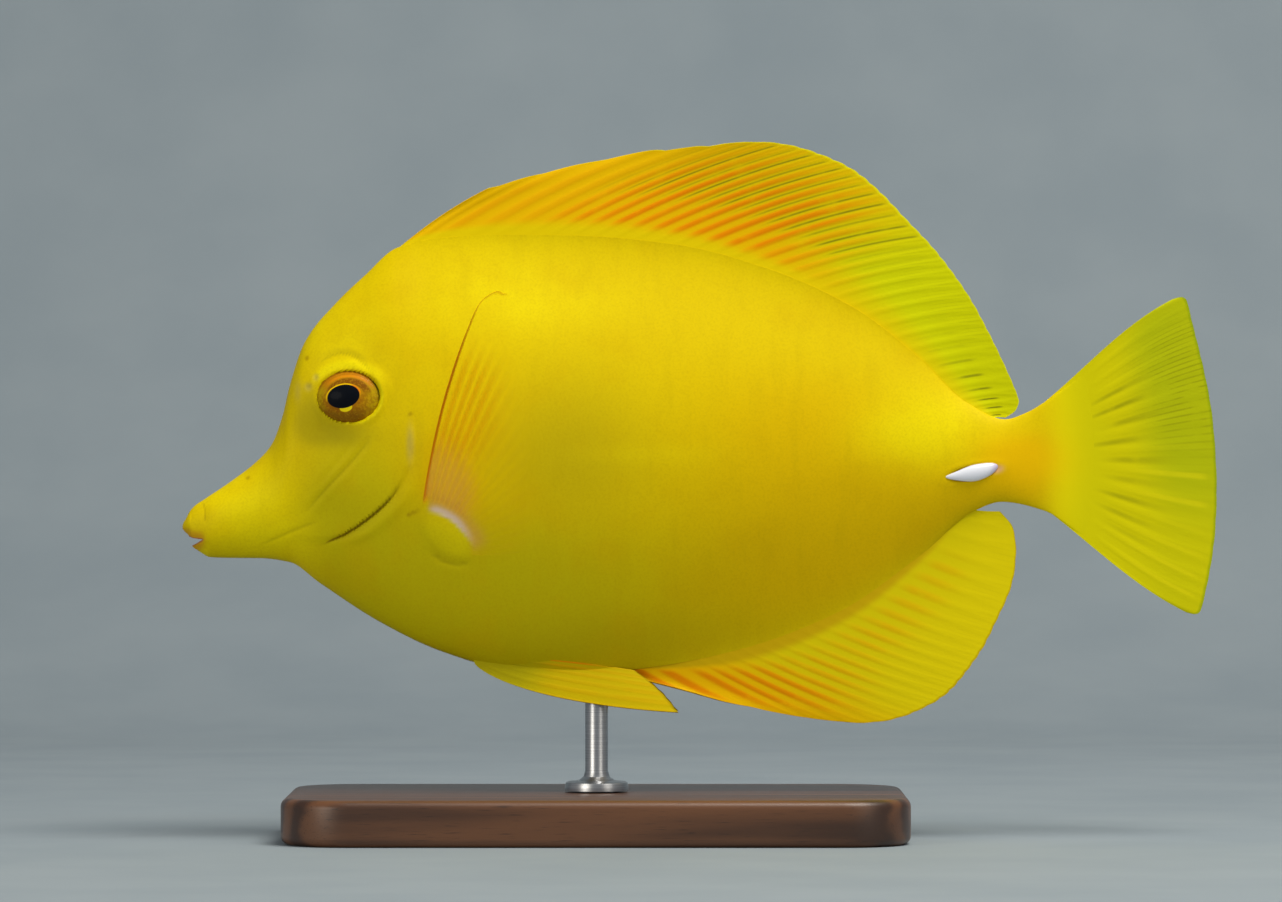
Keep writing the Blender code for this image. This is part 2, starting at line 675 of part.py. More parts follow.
def make_base():
    bpy.ops.mesh.primitive_cube_add(size=1)
    base = bpy.context.object
    base.name = "stand_base"
    base.data.transform(Matrix.Diagonal((BASE_LENGTH * MM, BASE_WIDTH * MM, BASE_THICKNESS * MM, 1)))
    base.data.transform(Matrix.Translation(((ROD_X - TOTAL_LENGTH / 2) * MM, 0, BASE_THICKNESS / 2 * MM)))
    upright = [e for e in base.data.edges if abs((Vector(base.data.vertices[e.vertices[0]].co)
               - base.data.vertices[e.vertices[1]].co).z) > MM]
    weights = base.data.attributes.new("bevel_weight_edge", "FLOAT", "EDGE")
    for edge in upright:
        weights.data[edge.index].value = 1
    corners = base.modifiers.new("Corners", "BEVEL")
    corners.limit_method = "WEIGHT"
    corners.width = BASE_CORNER * MM
    corners.segments = 5
    edges = base.modifiers.new("Edges", "BEVEL")
    edges.limit_method = "ANGLE"
    edges.angle_limit = math.radians(60)
    edges.width = BASE_EDGE * MM
    edges.segments = 2
    return base


def make_rod():
    """A turned rod with a foot flange. Its top is shaped to the belly it holds."""
    foot = BASE_THICKNESS + GAP
    top = AXIS_HEIGHT + belly_line(ROD_X) + ROD_SINK
    profile = [
        (0, top), (ROD_RADIUS, top), (ROD_RADIUS, foot + FLANGE_HEIGHT + 1.5),
        (ROD_RADIUS + 0.5, foot + FLANGE_HEIGHT + 0.4), (ROD_RADIUS + 1.6, foot + FLANGE_HEIGHT),
        (FLANGE_RADIUS - 0.4, foot + FLANGE_HEIGHT), (FLANGE_RADIUS, foot + FLANGE_HEIGHT - 0.4),
        (FLANGE_RADIUS, foot), (0, foot),
    ]
    bm = bmesh.new()
    points = [bm.verts.new((r * MM, 0, z * MM)) for r, z in profile]
    for a, b in zip(points, points[1:]):
        bm.edges.new((a, b))
    mesh = bpy.data.meshes.new("stand_rod")
    bm.to_mesh(mesh)
    bm.free()
    rod = bpy.data.objects.new("stand_rod", mesh)
    bpy.context.scene.collection.objects.link(rod)
    screw = rod.modifiers.new("Turned", "SCREW")
    screw.steps = screw.render_steps = ROD_STEPS
    screw.use_merge_vertices = True
    screw.merge_threshold = 1e-6
    rod.data = evaluated_mesh(rod)
    rod.modifiers.clear()
    rod.data.transform(Matrix.Translation(((ROD_X - TOTAL_LENGTH / 2) * MM, 0, 0)))
    return rod


def grown_trunk(name):
    """The trunk grown by the gap, which cuts the space that it needs out of its neighbours."""
    return body_loft(name, min(x for x, z in GILL_LINE), TAIL_ROOT_START - GAP, RINGS["trunk"], grow=GAP)


def material(name, colour, roughness, metallic=0.0):
    found = bpy.data.materials.new(name)
    found.use_nodes = True
    shader = found.node_tree.nodes["Principled BSDF"]
    shader.inputs["Base Color"].default_value = (*colour, 1)
    shader.inputs["Roughness"].default_value = roughness
    shader.inputs["Metallic"].default_value = metallic
    return found


def main():
    clear_scene()
    fish = bpy.data.collections.new("yellow_tang")
    bpy.context.scene.collection.children.link(fish)
    eye = eye_piece("eye_left")
    spine = tail_spine("tail_spine_left")
    pectoral = make_pectoral_fin("pectoral_fin_left")
    pelvic = make_pelvic_fin("pelvic_fin_left")
    for piece in (pectoral, pelvic):
        combine(piece, [grown_trunk("trunk_space")], "DIFFERENCE")
    rod = combine(make_rod(), [grown_trunk("trunk_space")], "DIFFERENCE")
    skin = material("skin", (0.83, 0.68, 0.01), 0.45)
    membrane = material("fin_membrane", (0.72, 0.62, 0.02), 0.5)
    made = [
        (make_head(), skin),
        (make_trunk(), skin),
        (make_tail_root(), skin),
        (make_dorsal_fin(), membrane),
        (make_anal_fin(), membrane),
        (make_tail_fin(), membrane),
        (pectoral, membrane),
        (mirrored(pectoral, "pectoral_fin_right"), membrane),
        (pelvic, membrane),
        (mirrored(pelvic, "pelvic_fin_right"), membrane),
    ]
    eye_gloss = material("eye", (0.02, 0.02, 0.03), 0.1)
    spine_bone = material("tail_spine", (0.85, 0.87, 0.9), 0.35)
    made += [
        (eye, eye_gloss),
        (mirrored(eye, "eye_right"), eye_gloss),
        (spine, spine_bone),
        (mirrored(spine, "tail_spine_right"), spine_bone),
        (make_base(), material("stand_wood", (0.12, 0.06, 0.03), 0.5)),
        (rod, material("stand_steel", (0.6, 0.6, 0.62), 0.35, 1.0)),
    ]
    for obj, finish in made:
        obj.data.materials.clear()
        obj.data.materials.append(finish)
        for collection in obj.users_collection:
            collection.objects.unlink(obj)
        fish.objects.link(obj)


main()
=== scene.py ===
"""The looks of a life-size yellow tang: skin, fins, eyes and tail spines, on a display stand.

Shapes are given in millimetres in the fish's own side view: x behind the tip of the snout,
z above the long axis, y out of the plane of symmetry, with the left flank at -y.
"""

import math

import bpy
import numpy as np
from mathutils import Matrix, Vector


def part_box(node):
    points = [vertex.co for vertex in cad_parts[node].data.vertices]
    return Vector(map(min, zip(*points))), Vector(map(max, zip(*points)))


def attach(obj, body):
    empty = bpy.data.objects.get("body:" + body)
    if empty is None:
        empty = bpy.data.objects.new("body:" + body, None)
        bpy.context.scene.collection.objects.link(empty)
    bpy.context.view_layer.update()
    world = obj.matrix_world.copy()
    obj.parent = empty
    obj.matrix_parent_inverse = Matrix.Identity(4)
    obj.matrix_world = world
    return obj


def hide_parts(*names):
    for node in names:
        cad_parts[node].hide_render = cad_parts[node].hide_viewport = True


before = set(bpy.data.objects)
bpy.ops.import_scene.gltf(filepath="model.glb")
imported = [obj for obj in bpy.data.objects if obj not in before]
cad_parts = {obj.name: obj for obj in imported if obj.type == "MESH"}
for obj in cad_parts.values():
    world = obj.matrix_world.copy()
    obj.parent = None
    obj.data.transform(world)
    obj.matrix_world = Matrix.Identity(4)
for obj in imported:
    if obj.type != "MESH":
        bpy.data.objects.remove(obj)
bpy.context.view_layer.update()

MM = 0.001
TOTAL_LENGTH = 180.0
FIN_CLEARANCE = 12.0
FIN_DEPTH = 45.8
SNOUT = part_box("tail_fin")[1].x - TOTAL_LENGTH * MM
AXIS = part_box("stand_base")[1].z + (FIN_CLEARANCE + FIN_DEPTH) * MM

# Where the photograph shows the tip of the snout and the long axis, and its scale.
PHOTO_SIZE = (1282, 902)
PHOTO_SNOUT_X = 183
PHOTO_AXIS_Y = 460
MM_PER_PIXEL = 0.17408
CAMERA_DISTANCE = 1200.0
SENSOR_WIDTH = 36.0

# Lines of the body in side view. Past the tail root the skin runs out over the tail fin.
BACK_LINE = [
    (-0.1, -11.5), (0.1, -10.9), (0.47, -10.3), (0.83, -9.6), (1.25, -8.85), (2.0, -8.0),
    (3.9, -6.7), (8.2, -3.8), (13.4, 0.3), (15.5, 2.8), (17.4, 7.8),
    (18.6, 12.9), (21.2, 20.5), (26.5, 27.2), (31.7, 32.2), (37.1, 36.9), (44.7, 38.8),
    (56.0, 39.4), (69.1, 39.2), (85.6, 37.7), (102.5, 33.2), (116.8, 26.6), (127.4, 18.5),
    (136.3, 10.1), (143.1, 7.1), (146.9, 8.3), (150.1, 10.2), (154.0, 12.8), (158.0, 16.0),
    (162.5, 19.6),
]
BELLY_LINE = [
    (-0.1, -11.9), (0.25, -12.4), (0.98, -13.1), (1.35, -14.0), (1.65, -15.0), (2.7, -15.8),
    (3.6, -16.4), (4.6, -16.9), (8.2, -17.05), (13.4, -17.1), (18.6, -17.8), (23.8, -21.4),
    (34.3, -28.2), (44.7, -33.2), (55.2, -36.2), (69.1, -37.4), (81.6, -36.2), (97.0, -33.1),
    (114.2, -26.5), (128.5, -16.5), (137.9, -8.8), (142.5, -7.3), (150.1, -8.9),
    (154.0, -11.3), (158.0, -14.2), (162.5, -17.8),
]
HALF_WIDTH = [
    (-0.1, 0.5), (0.15, 1.25), (0.6, 1.9), (1.3, 2.45), (3.0, 3.1), (5.6, 3.9), (10.8, 4.6),
    (18.6, 6.2), (26.5, 7.7), (40.4, 9.8), (50.0, 10.6), (60.0, 10.9), (70.0, 10.7),
    (94.0, 8.9), (118.0, 5.9), (137.0, 3.4), (143.0, 2.6), (150.1, 1.4), (152.5, 0.86),
    (154.5, 0.51), (156.0, 0.35), (158.0, 0.248), (160.0, 0.19), (162.5, 0.1),
]
# How sharply each cross-section tapers to the back and to the belly: 1 is an ellipse.
BACK_TAPER = [
    (-0.1, 1.0), (20.0, 1.0), (32.0, 1.35), (44.0, 2.7), (80.0, 3.1), (120.0, 2.9), (134.0, 2.0),
    (143.0, 1.1), (162.5, 1.0),
]
BELLY_TAPER = [
    (-0.1, 1.0), (60.0, 1.05), (78.0, 1.8), (95.0, 2.5), (125.0, 2.4), (140.0, 1.1), (162.5, 1.0),
]
# Half widths of the narrow flats along the back and the belly, where the fins stand.
BACK_FLAT = [
    (-0.1, 0.2), (2.0, 0.4), (34.0, 0.5), (40.0, 0.97), (143.0, 0.95), (150.1, 0.7), (154.0, 0.38),
    (157.0, 0.2), (159.0, 0.12), (162.5, 0.03),
]
BELLY_FLAT = [
    (-0.1, 0.2), (2.0, 0.4), (70.0, 0.6), (78.0, 0.9), (150.1, 0.75), (154.0, 0.38),
    (157.0, 0.2), (159.0, 0.12), (162.5, 0.03),
]
# Distance between the skin's rings, along the outline, and the points in one ring.
RING_SPACING = [
    (-0.1, 0.2), (5.0, 0.3), (14.0, 0.4), (21.0, 0.3), (38.0, 0.32), (42.0, 0.5), (53.0, 0.5),
    (60.0, 1.3), (125.0, 1.3), (131.0, 0.6), (144.0, 0.5), (162.5, 0.6),
]
AROUND = 288

# Lines on the head: the gill cover's edge, the cheek's and the jaw's creases.
GILL_LINE = [
    (35.5, 48.0), (36.0, 36.0), (37.8, 24.0), (39.6, 12.0), (40.3, 4.5), (40.0, -0.2),
    (38.7, -3.1), (36.4, -6.5), (32.9, -9.75), (28.9, -12.5), (25.24, -14.3), (23.2, -16.5),
    (21.8, -21.0),
]
CHEEK_LINE = [(33.0, 4.2), (32.1, 2.6), (29.2, -0.8), (25.6, -4.6), (22.8, -7.7), (21.4, -9.6)]
CHEEK_FOLD = [(31.0, 3.6), (28.2, 0.6), (25.0, -3.2), (22.4, -6.6)]
JAW_LINE = [(24.5, -10.2), (22.0, -11.2), (19.0, -12.4), (15.6, -13.9), (12.8, -15.0)]
BROW_CREASE = [
    (23.4, 15.8), (24.5, 17.1), (26.2, 18.1), (28.1, 18.4), (29.9, 18.0), (31.4, 16.9), (33.0, 15.4),
    (34.0, 14.1),
]
LIP_CREASE = [(3.7, -7.6), (3.95, -8.4), (4.05, -9.4), (4.1, -10.4), (4.15, -11.4)]
CHIN_CREASE = [(4.5, -13.9), (4.3, -14.9), (3.6, -15.9)]

# The eye's opening in the skin, and the eyeball with its pupil and a painted highlight under it, shaped
# like a new moon.
EYE_CENTRE = (29.2, 10.95)
EYE_OPENING = (5.45, 4.35)
EYE_RADII = (5.75, 2.2, 4.6)
EYE_SINK = 0.85
EYE_YAW = math.radians(9)
EYE_ROLL = math.radians(6)
PUPIL_CENTRE = (28.3, 11.0)
PUPIL_RADII = (2.85, 2.02)
PUPIL_TILT = math.radians(12)
HIGHLIGHT_CENTRE = (28.75, 9.05)
HIGHLIGHT_RADII = (1.1, 0.7)
# How far the cornea swells out over the pupil, and how wide, as shares of the eyeball's radii.
CORNEA_SWELL = 0.12
CORNEA_SPREAD = 0.42

# Outline of the cut that opens the mouth, and how far to each side it reaches.
GAPE = [
    (-2.0, -12.8), (0.0, -12.9), (1.0, -13.25), (2.0, -13.6), (3.6, -13.8), (2.45, -14.5),
    (1.7, -14.85), (1.0, -15.0), (-2.0, -15.4),
]
GAPE_REACH = 12.0
# Nostrils and small brown marks: place and size.
NOSTRILS = [(22.1, 12.6, 0.5), (23.4, 14.3, 0.4)]
BROWN_MARKS = [
    (39.9, 8.0, 0.45), (39.6, -9.5, 0.4), (40.4, -9.1, 0.4), (41.2, -8.8, 0.35),
    (11.5, -3.1, 0.35), (21.8, 17.7, 0.45), (85.4, 1.6, 0.3),
]

# The pectoral's fleshy base, the crease under it and the pale arc where the fin leaves it.
LOBE_CENTRE = (46.2, -13.0)
LOBE_RADII = (6.4, 3.4)
LOBE_TILT = math.radians(-43)
LOBE_HEIGHT = 0.2
LOBE_CREASE = [
    (42.6, -15.2), (44.0, -16.4), (45.7, -17.5), (47.5, -17.9), (49.2, -17.9), (50.7, -17.4),
]
PECTORAL_ARC = [
    (42.3, -8.6), (44.7, -9.0), (47.2, -10.3), (49.0, -12.2), (50.4, -14.3), (51.0, -16.7),
]

# The tail spine, a blade in a slot of the skin, and the pink hinge at its rear end.
TAIL_SPINE_CENTRE = (137.2, -2.2)
TAIL_SPINE_RADII = (4.7, 0.95, 1.45)
TAIL_SPINE_PITCH = math.radians(-12)
TAIL_SPINE_YAW = math.radians(-7)
HINGE_CENTRE = (141.6, -1.6)
HINGE_RADII = (1.4, 0.9)

# Fins: margins, where the spines and the soft rays start, and how many degrees above straight
# back they point. Soft rays are given by the first, the last and how many there are. A bow is a
# share of the ray's length, and a wave is its height and its length over 2 pi.
DORSAL_MARGIN = [
    (36.4, 36.6), (42.1, 41.1), (50.8, 46.3), (57.4, 48.6), (68.6, 51.4), (79.0, 53.6),
    (89.1, 54.6), (99.6, 55.4), (107.2, 54.5), (115.5, 51.3), (120.8, 47.3), (126.0, 41.9),
    (131.3, 36.2), (136.5, 29.1), (140.0, 22.8), (143.0, 16.6), (144.9, 12.2), (145.5, 10.2),
    (145.1, 8.9), (144.2, 7.9), (143.0, 7.3), (142.0, 6.9),
]
DORSAL_BOW = 0.032
DORSAL_WAVE = (0.7, 9.0)
DORSAL_SPINES = [38.4, 41.0, 45.0, 50.8, 55.9]
DORSAL_SOFT = (60.6, 141.6, 29)
DORSAL_SWEEP = [
    (38.4, 34.0), (41.0, 30.5), (45.0, 28.0), (55.9, 24.5), (76.1, 21.0), (94.2, 17.5),
    (102.5, 14.5), (116.8, 11.5), (131.8, 9.5), (137.0, 7.0), (139.6, 5.0), (141.6, 2.0),
]
ANAL_MARGIN = [
    (70.0, -37.3), (75.0, -37.6), (81.0, -38.6), (86.5, -39.9), (97.0, -42.8), (104.4, -44.2),
    (112.6, -45.4), (117.9, -45.8), (123.1, -45.3), (128.3, -43.5), (133.5, -40.2),
    (138.7, -33.6), (141.4, -28.4), (144.0, -22.6), (145.0, -17.4), (144.8, -13.2),
    (144.1, -11.0), (142.8, -9.3), (141.0, -8.6), (138.6, -8.4), (136.5, -8.6),
]
ANAL_BOW = -0.02
ANAL_WAVE = (0.6, 8.0)
ANAL_SPINES = [76.5, 79.4, 83.2]
ANAL_SOFT = (87.6, 138.2, 21)
ANAL_SWEEP = [
    (76.5, -30.0), (81.9, -29.0), (88.2, -27.0), (98.5, -22.0), (107.0, -20.5), (124.8, -20.5),
    (131.0, -18.0), (134.5, -12.0), (137.2, -6.0), (138.2, -4.0),
]
# The tail fin: where it starts and ends, and how far its outermost rays bow outwards, as shares
# of their length.
TAIL_START = 148.0
TAIL_ROOT_LINE = ((150.4, 10.4), (150.4, 0.8), (150.4, -8.7))
TAIL_MARGIN = [
    (174.6, 28.9), (176.0, 23.0), (177.6, 16.5), (179.2, 8.0), (180.0, -3.0), (179.7, -13.0),
    (178.5, -21.0), (177.0, -27.4),
]
TAIL_RAYS = 15
TAIL_BULGE = (0.042, -0.036)
TAIL_CORNER = 2.2
TAIL_SINK = 2.5
TAIL_SWEEP = 2.2
# The pectoral: its rays' shares of its length, and their angles, bows and swing out of the flank,
# from the leading ray to the last.
PECTORAL_ROOT = ((42.1, -8.2), (47.6, -10.6), (50.4, -16.2))
PECTORAL_LENGTH = 40.9
PECTORAL_SHARES = [
    (0.0, 0.95), (0.09, 0.965), (0.29, 0.885), (0.5, 0.67), (0.75, 0.45), (1.0, 0.32),
]
PECTORAL_ANGLES = [(0.0, 73.5), (0.3, 63.0), (0.6, 43.0), (1.0, 4.0)]
PECTORAL_RAYS = 18
PECTORAL_SWING = (22.0, 13.0)
PECTORAL_BOW = (0.04, -0.03)
PECTORAL_SINK = 1.2
PECTORAL_CORNER = 3.5
PELVIC_ROOT = ((50.6, -34.4), (56.0, -34.5))
PELVIC_TIPS = [
    (86.2, -43.8), (84.9, -42.2), (83.6, -40.7), (82.0, -39.2), (80.4, -37.9), (78.6, -36.6),
]
PELVIC_BOWS = (-2.9, 0.6)
PELVIC_LEAN = 0.5
PELVIC_FLARE = 3.0
PELVIC_SINK = 1.3
# Rays rise out of their membrane over this share of their length, and the dorsal's and the
# anal's are rooted this deep in the body.
RAY_RISE = 0.3
RAY_SINK = 1.6

ROD_X = 72.0
ROD_RADIUS = 2.0
BASE_CORNER = 12.0
BASE_EDGE = 1.5

# The studio, in metres.
FLOOR_MIDDLE = (0.0, -0.2, 0.0)
FLOOR_SIZE = (3.0, 1.8, 1.0)
WALL_HEIGHT = 1.4
WALL_BEND = 0.3

# Skin and fins hardly shine, as in the photograph, where water takes their gloss away.
DULL = 0.08
SKIN_SHINE = {"Roughness": 0.5, "IOR": 1.36, "Specular_IOR_Level": DULL}
# Colours that more than one finish uses.
YELLOW = "#e3c702"
TAIL_YELLOW = "#ecda04"
TAIL_OLIVE = "#dad006"


def deselect_all():
    if bpy.context.mode != "OBJECT":
        bpy.ops.object.mode_set(mode="OBJECT")
    for obj in bpy.context.selected_objects:
        obj.select_set(False)


def activate(obj):
    deselect_all()
    bpy.context.view_layer.objects.active = obj
    obj.select_set(True)


def new_piece(primitive, name, **settings):
    """Adds a primitive with nothing else selected, and names it."""
    deselect_all()
    primitive(**settings)
    piece = bpy.context.object
    piece.name = name
    return piece


def apply_modifiers(obj):
    activate(obj)
    for modifier in list(obj.modifiers):
        bpy.ops.object.modifier_apply(modifier=modifier.name)


def positions(obj):
    """The places of a mesh's vertices, in metres, as one row each."""
    co = np.empty(len(obj.data.vertices) * 3, np.float32)
    obj.data.vertices.foreach_get("co", co)
    return co.reshape(-1, 3).astype(float)


def set_positions(obj, co):
    obj.data.vertices.foreach_set("co", co.astype(np.float32).ravel())
    obj.data.update()


def side_view(co):
    """Where vertices lie in the fish's side view, in millimetres: x and z."""
    return (co[:, 0] - SNOUT) / MM, (co[:, 2] - AXIS) / MM


def place(x, y, z):
    """World places, in metres, of points in the fish's millimetres."""
    return np.stack([SNOUT + np.asarray(x) * MM, np.asarray(y) * MM, AXIS + np.asarray(z) * MM], -1)


def paint(obj, name, *channels):
    """Stores up to four values at each vertex, as an attribute that a material reads."""
    count = len(obj.data.vertices)
    layer = obj.data.color_attributes.new(name, "FLOAT_COLOR", "POINT")
    values = np.zeros((count, 4), np.float32)
    for k, channel in enumerate(channels):
        values[:, k] = channel
    layer.data.foreach_set("color", values.ravel())


def face_outwards(obj):
    activate(obj)
    bpy.ops.object.mode_set(mode="EDIT")
    bpy.ops.mesh.select_all(action="SELECT")
    bpy.ops.mesh.normals_make_consistent(inside=False)
    bpy.ops.object.mode_set(mode="OBJECT")


def smooth_faces(obj, angle=40):
    """Faces outwards, and shading that keeps only creases sharper than the angle."""
    face_outwards(obj)
    bpy.ops.object.shade_smooth_by_angle(angle=math.radians(angle))


def select_edges(obj, wanted):
    """Goes into edit mode with those edges selected whose two ends pass a test."""
    activate(obj)
    bpy.ops.object.mode_set(mode="EDIT")
    bpy.ops.mesh.select_mode(type="EDGE")
    bpy.ops.mesh.select_all(action="DESELECT")
    bpy.ops.object.mode_set(mode="OBJECT")
    for edge in obj.data.edges:
        edge.select = wanted(*(obj.data.vertices[k].co for k in edge.vertices))
    bpy.ops.object.mode_set(mode="EDIT")


def mirrored(obj, name):
    """The same piece on the fish's other side."""
    mesh = obj.data.copy()
    mesh.transform(Matrix.Scale(-1, 4, (0, 1, 0)))
    mesh.flip_normals()
    twin = bpy.data.objects.new(name, mesh)
    bpy.context.scene.collection.objects.link(twin)
    return twin


def hand_over(obj, material, slot, *nodes):
    """Gives a finished piece its material and its body, and hides the CAD nodes that it stands for."""
    obj.data.materials.clear()
    obj.data.materials.append(material)
    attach(obj, "root")
    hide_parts(*nodes)


def ease(low, high, value):
    """Runs smoothly from 0 at low to 1 at high."""
    t = np.clip((np.asarray(value, float) - low) / (high - low), 0, 1)
    return t * t * (3 - 2 * t)


def hump(value, centre, width):
    """A smooth bump: 1 at its centre, and about a third at its width."""
    return np.exp(-(((value - centre) / width) ** 2))


def between(rise_from, rise_to, fall_from, fall_to, value):
    """Rises from 0 to 1, and falls back to 0."""
    return ease(rise_from, rise_to, value) * (1 - ease(fall_from, fall_to, value))


def smooth_line(points):
    """A monotone cubic through (x, value) points, as a function of one x or of many."""
    xs, vs = np.array(points, float).T
    step = np.diff(xs)
    slope = np.diff(vs) / step
    tangent = np.concatenate([slope[:1], np.zeros(len(xs) - 2), slope[-1:]])
    for i in range(1, len(xs) - 1):
        before, after = slope[i - 1], slope[i]
        if before * after > 0:
            first = 2 * step[i] + step[i - 1]
            second = step[i] + 2 * step[i - 1]
            tangent[i] = (first + second) / (first / before + second / after)

    def value(x):
        x = np.clip(x, xs[0], xs[-1])
        i = np.clip(np.searchsorted(xs, x, side="right") - 1, 0, len(step) - 1)
        t = (x - xs[i]) / step[i]
        return (
            vs[i] * (1 + 2 * t) * (1 - t) ** 2
            + vs[i + 1] * t * t * (3 - 2 * t)
            + step[i] * tangent[i] * t * (1 - t) ** 2
            - step[i] * tangent[i + 1] * t * t * (1 - t)
        )

    return value


back_line = smooth_line(BACK_LINE)
belly_line = smooth_line(BELLY_LINE)
widest = smooth_line(HALF_WIDTH)
back_taper = smooth_line(BACK_TAPER)
belly_taper = smooth_line(BELLY_TAPER)
back_flat = smooth_line(BACK_FLAT)
belly_flat = smooth_line(BELLY_FLAT)


def level_at(x, z):
    """How high on the body a point is: -1 at the belly's line and 1 at the back's."""
    top, bottom = back_line(x), belly_line(x)
    return np.clip((z - (top + bottom) / 2) / ((top - bottom) / 2), -1, 1)


def flank(x, z):
    """Half width of the body at a point of its side view."""
    level = level_at(x, z)
    share = (level + 1) / 2
    flat = belly_flat(x) + (back_flat(x) - belly_flat(x)) * share
    taper = belly_taper(x) + (back_taper(x) - belly_taper(x)) * share
    return flat + (widest(x) - flat) * (1 - level * level) ** (taper / 2)


def catmull_rom(a, b, c, d, t):
    """A curve's places at shares t of the way from b to c, with a before them and d after."""
    return 0.5 * (2 * b + (c - a) * t + (2 * a - 5 * b + 4 * c - d) * t * t
                  + (3 * b - a - 3 * c + d) * t ** 3)


def curve_through(points, per_span=6):
    """A Catmull-Rom curve through 2D points, as rows."""
    given = np.array(points, float)
    ends = np.vstack([2 * given[0] - given[1], given, 2 * given[-1] - given[-2]])
    t = (np.arange(per_span) / per_span)[:, None]
    line = [catmull_rom(*four, t) for four in zip(ends, ends[1:], ends[2:], ends[3:])]
    return np.vstack([*line, given[-1:]])


def point_at(curve, share):
    """The curve's point that is nearest to this share of its rows."""
    return curve[round(share * (len(curve) - 1))]


def along_line(points, x, z):
    """Signed distances from places to a curve, and how far along it the nearest points lie.

    The distance is positive to the left of the way along the curve.
    """
    line = curve_through(points, 5)
    places = np.stack([x, z], -1)
    nearest = np.full(len(x), 1e9)
    signed, share = np.zeros(len(x)), np.zeros(len(x))
    for k, (a, b) in enumerate(zip(line, line[1:])):
        way = b - a
        offset = places - a
        along = np.clip(offset @ way / (way @ way), 0, 1)
        apart = np.linalg.norm(offset - along[:, None] * way, axis=1)
        closer = apart < nearest
        side = way[0] * offset[:, 1] - way[1] * offset[:, 0]
        nearest = np.where(closer, apart, nearest)
        signed = np.where(closer, np.where(side < 0, -apart, apart), signed)
        share = np.where(closer, (k + along) / (len(line) - 1), share)
    return signed, share


def distance_to(points, x, z):
    return along_line(points, x, z)[0]


def crease_at(points, x, z, width=0.4, banks=0.0):
    """A crease along a curve that fades out to both of its ends: 1 in its middle.

    The banks beside it stand up by this share of its depth, and come out below 0.
    """
    away, share = along_line(points, x, z)
    fade = between(0.0, 0.3, 0.7, 1.0, share)
    return hump(away, 0, width) * fade - banks * hump(abs(away), 1.1, 0.6) * fade


def oval(x, z, centre, radii, tilt=0.0):
    """Distance from an oval's centre, counted so that its edge is at 1."""
    dx, dz = x - centre[0], z - centre[1]
    along = dx * math.cos(tilt) + dz * math.sin(tilt)
    across = dz * math.cos(tilt) - dx * math.sin(tilt)
    return np.hypot(along / radii[0], across / radii[1])


def head_relief(x, z):
    """How far the head's folds and pits stand out of the smooth body."""
    gill = distance_to(GILL_LINE, x, z)
    slit = between(-14.8, -13.0, -8.5, -1.0, z)
    cover = (0.35 * between(-6, 0, 4, 10, z) + 0.8 * slit) * ease(-20, -15, z)
    height = cover * np.where(gill < 0, 0.3 * hump(gill, 0, 4), -0.28 * hump(gill, 0, 1.1))
    height += cover * 0.22 * hump(gill, 2.1, 0.9)
    height -= 0.25 * slit * hump(gill, 0.15, 0.26)
    creases = (
        (CHEEK_LINE, 0.12), (CHEEK_FOLD, 0.07), (JAW_LINE, 0.05), (BROW_CREASE, 0.12),
        (LIP_CREASE, 0.05), (CHIN_CREASE, 0.08),
    )
    for line, depth in creases:
        height -= depth * crease_at(line, x, z, banks=0.5)
    # The eye's lid, fullest above and behind it, and the socket that holds the eyeball.
    eye = oval(x, z, EYE_CENTRE, EYE_OPENING)
    over = ease(-0.3, 0.9, (z - EYE_CENTRE[1]) / EYE_OPENING[1])
    behind = ease(0.2, 0.9, (x - EYE_CENTRE[0]) / EYE_OPENING[0])
    height += hump(eye, 1.12, 0.1) * (0.08 + 0.28 * over + 0.16 * behind)
    height += 0.25 * over * hump(eye, 1.32, 0.13)
    height -= 2.7 * np.sqrt(np.clip(1 - eye * eye, 0, 1))
    # A hollow in front of the eye, and full flesh on the cheek and the snout.
    height -= 0.25 * hump(x, 24.5, 3.4) * hump(z, 5.0, 2.6)
    height += 0.4 * hump(x, 29.0, 6.0) * hump(z, -4.5, 4.5)
    height += 0.2 * hump(x, 10.0, 5.0) * hump(z, -8.5, 3.5)
    for nx, nz, radius in NOSTRILS:
        away = np.hypot(x - nx, z - nz)
        height += 0.03 * hump(away, 1.75 * radius, 0.6 * radius) - 0.16 * hump(away, 0, 0.8 * radius)
    return height


def body_relief(x, z):
    """The pectoral's fleshy base and the slot of the tail spine."""
    lobe = oval(x, z, LOBE_CENTRE, LOBE_RADII, LOBE_TILT)
    height = LOBE_HEIGHT * np.clip(1 - lobe ** 2, 0, 1) ** 1.4 - 0.16 * crease_at(LOBE_CREASE, x, z, 0.45)
    spine = oval(x, z, TAIL_SPINE_CENTRE, TAIL_SPINE_RADII[::2], -TAIL_SPINE_PITCH)
    return height + 0.06 * hump(spine, 1.2, 0.3) - 0.7 * (1 - ease(0.7, 1.0, spine))


def ring_places():
    """Where the skin's rings stand, as close together as the list of spacings says."""
    fine = np.linspace(BACK_LINE[0][0], BACK_LINE[-1][0], 4000)
    climb = np.maximum(abs(np.gradient(back_line(fine))), abs(np.gradient(belly_line(fine))))
    steps = np.hypot(np.gradient(fine), climb) / np.interp(fine, *np.array(RING_SPACING).T)
    run = np.cumsum(steps) - steps[0]
    return np.interp(np.linspace(0, run[-1], round(run[-1])), run, fine)


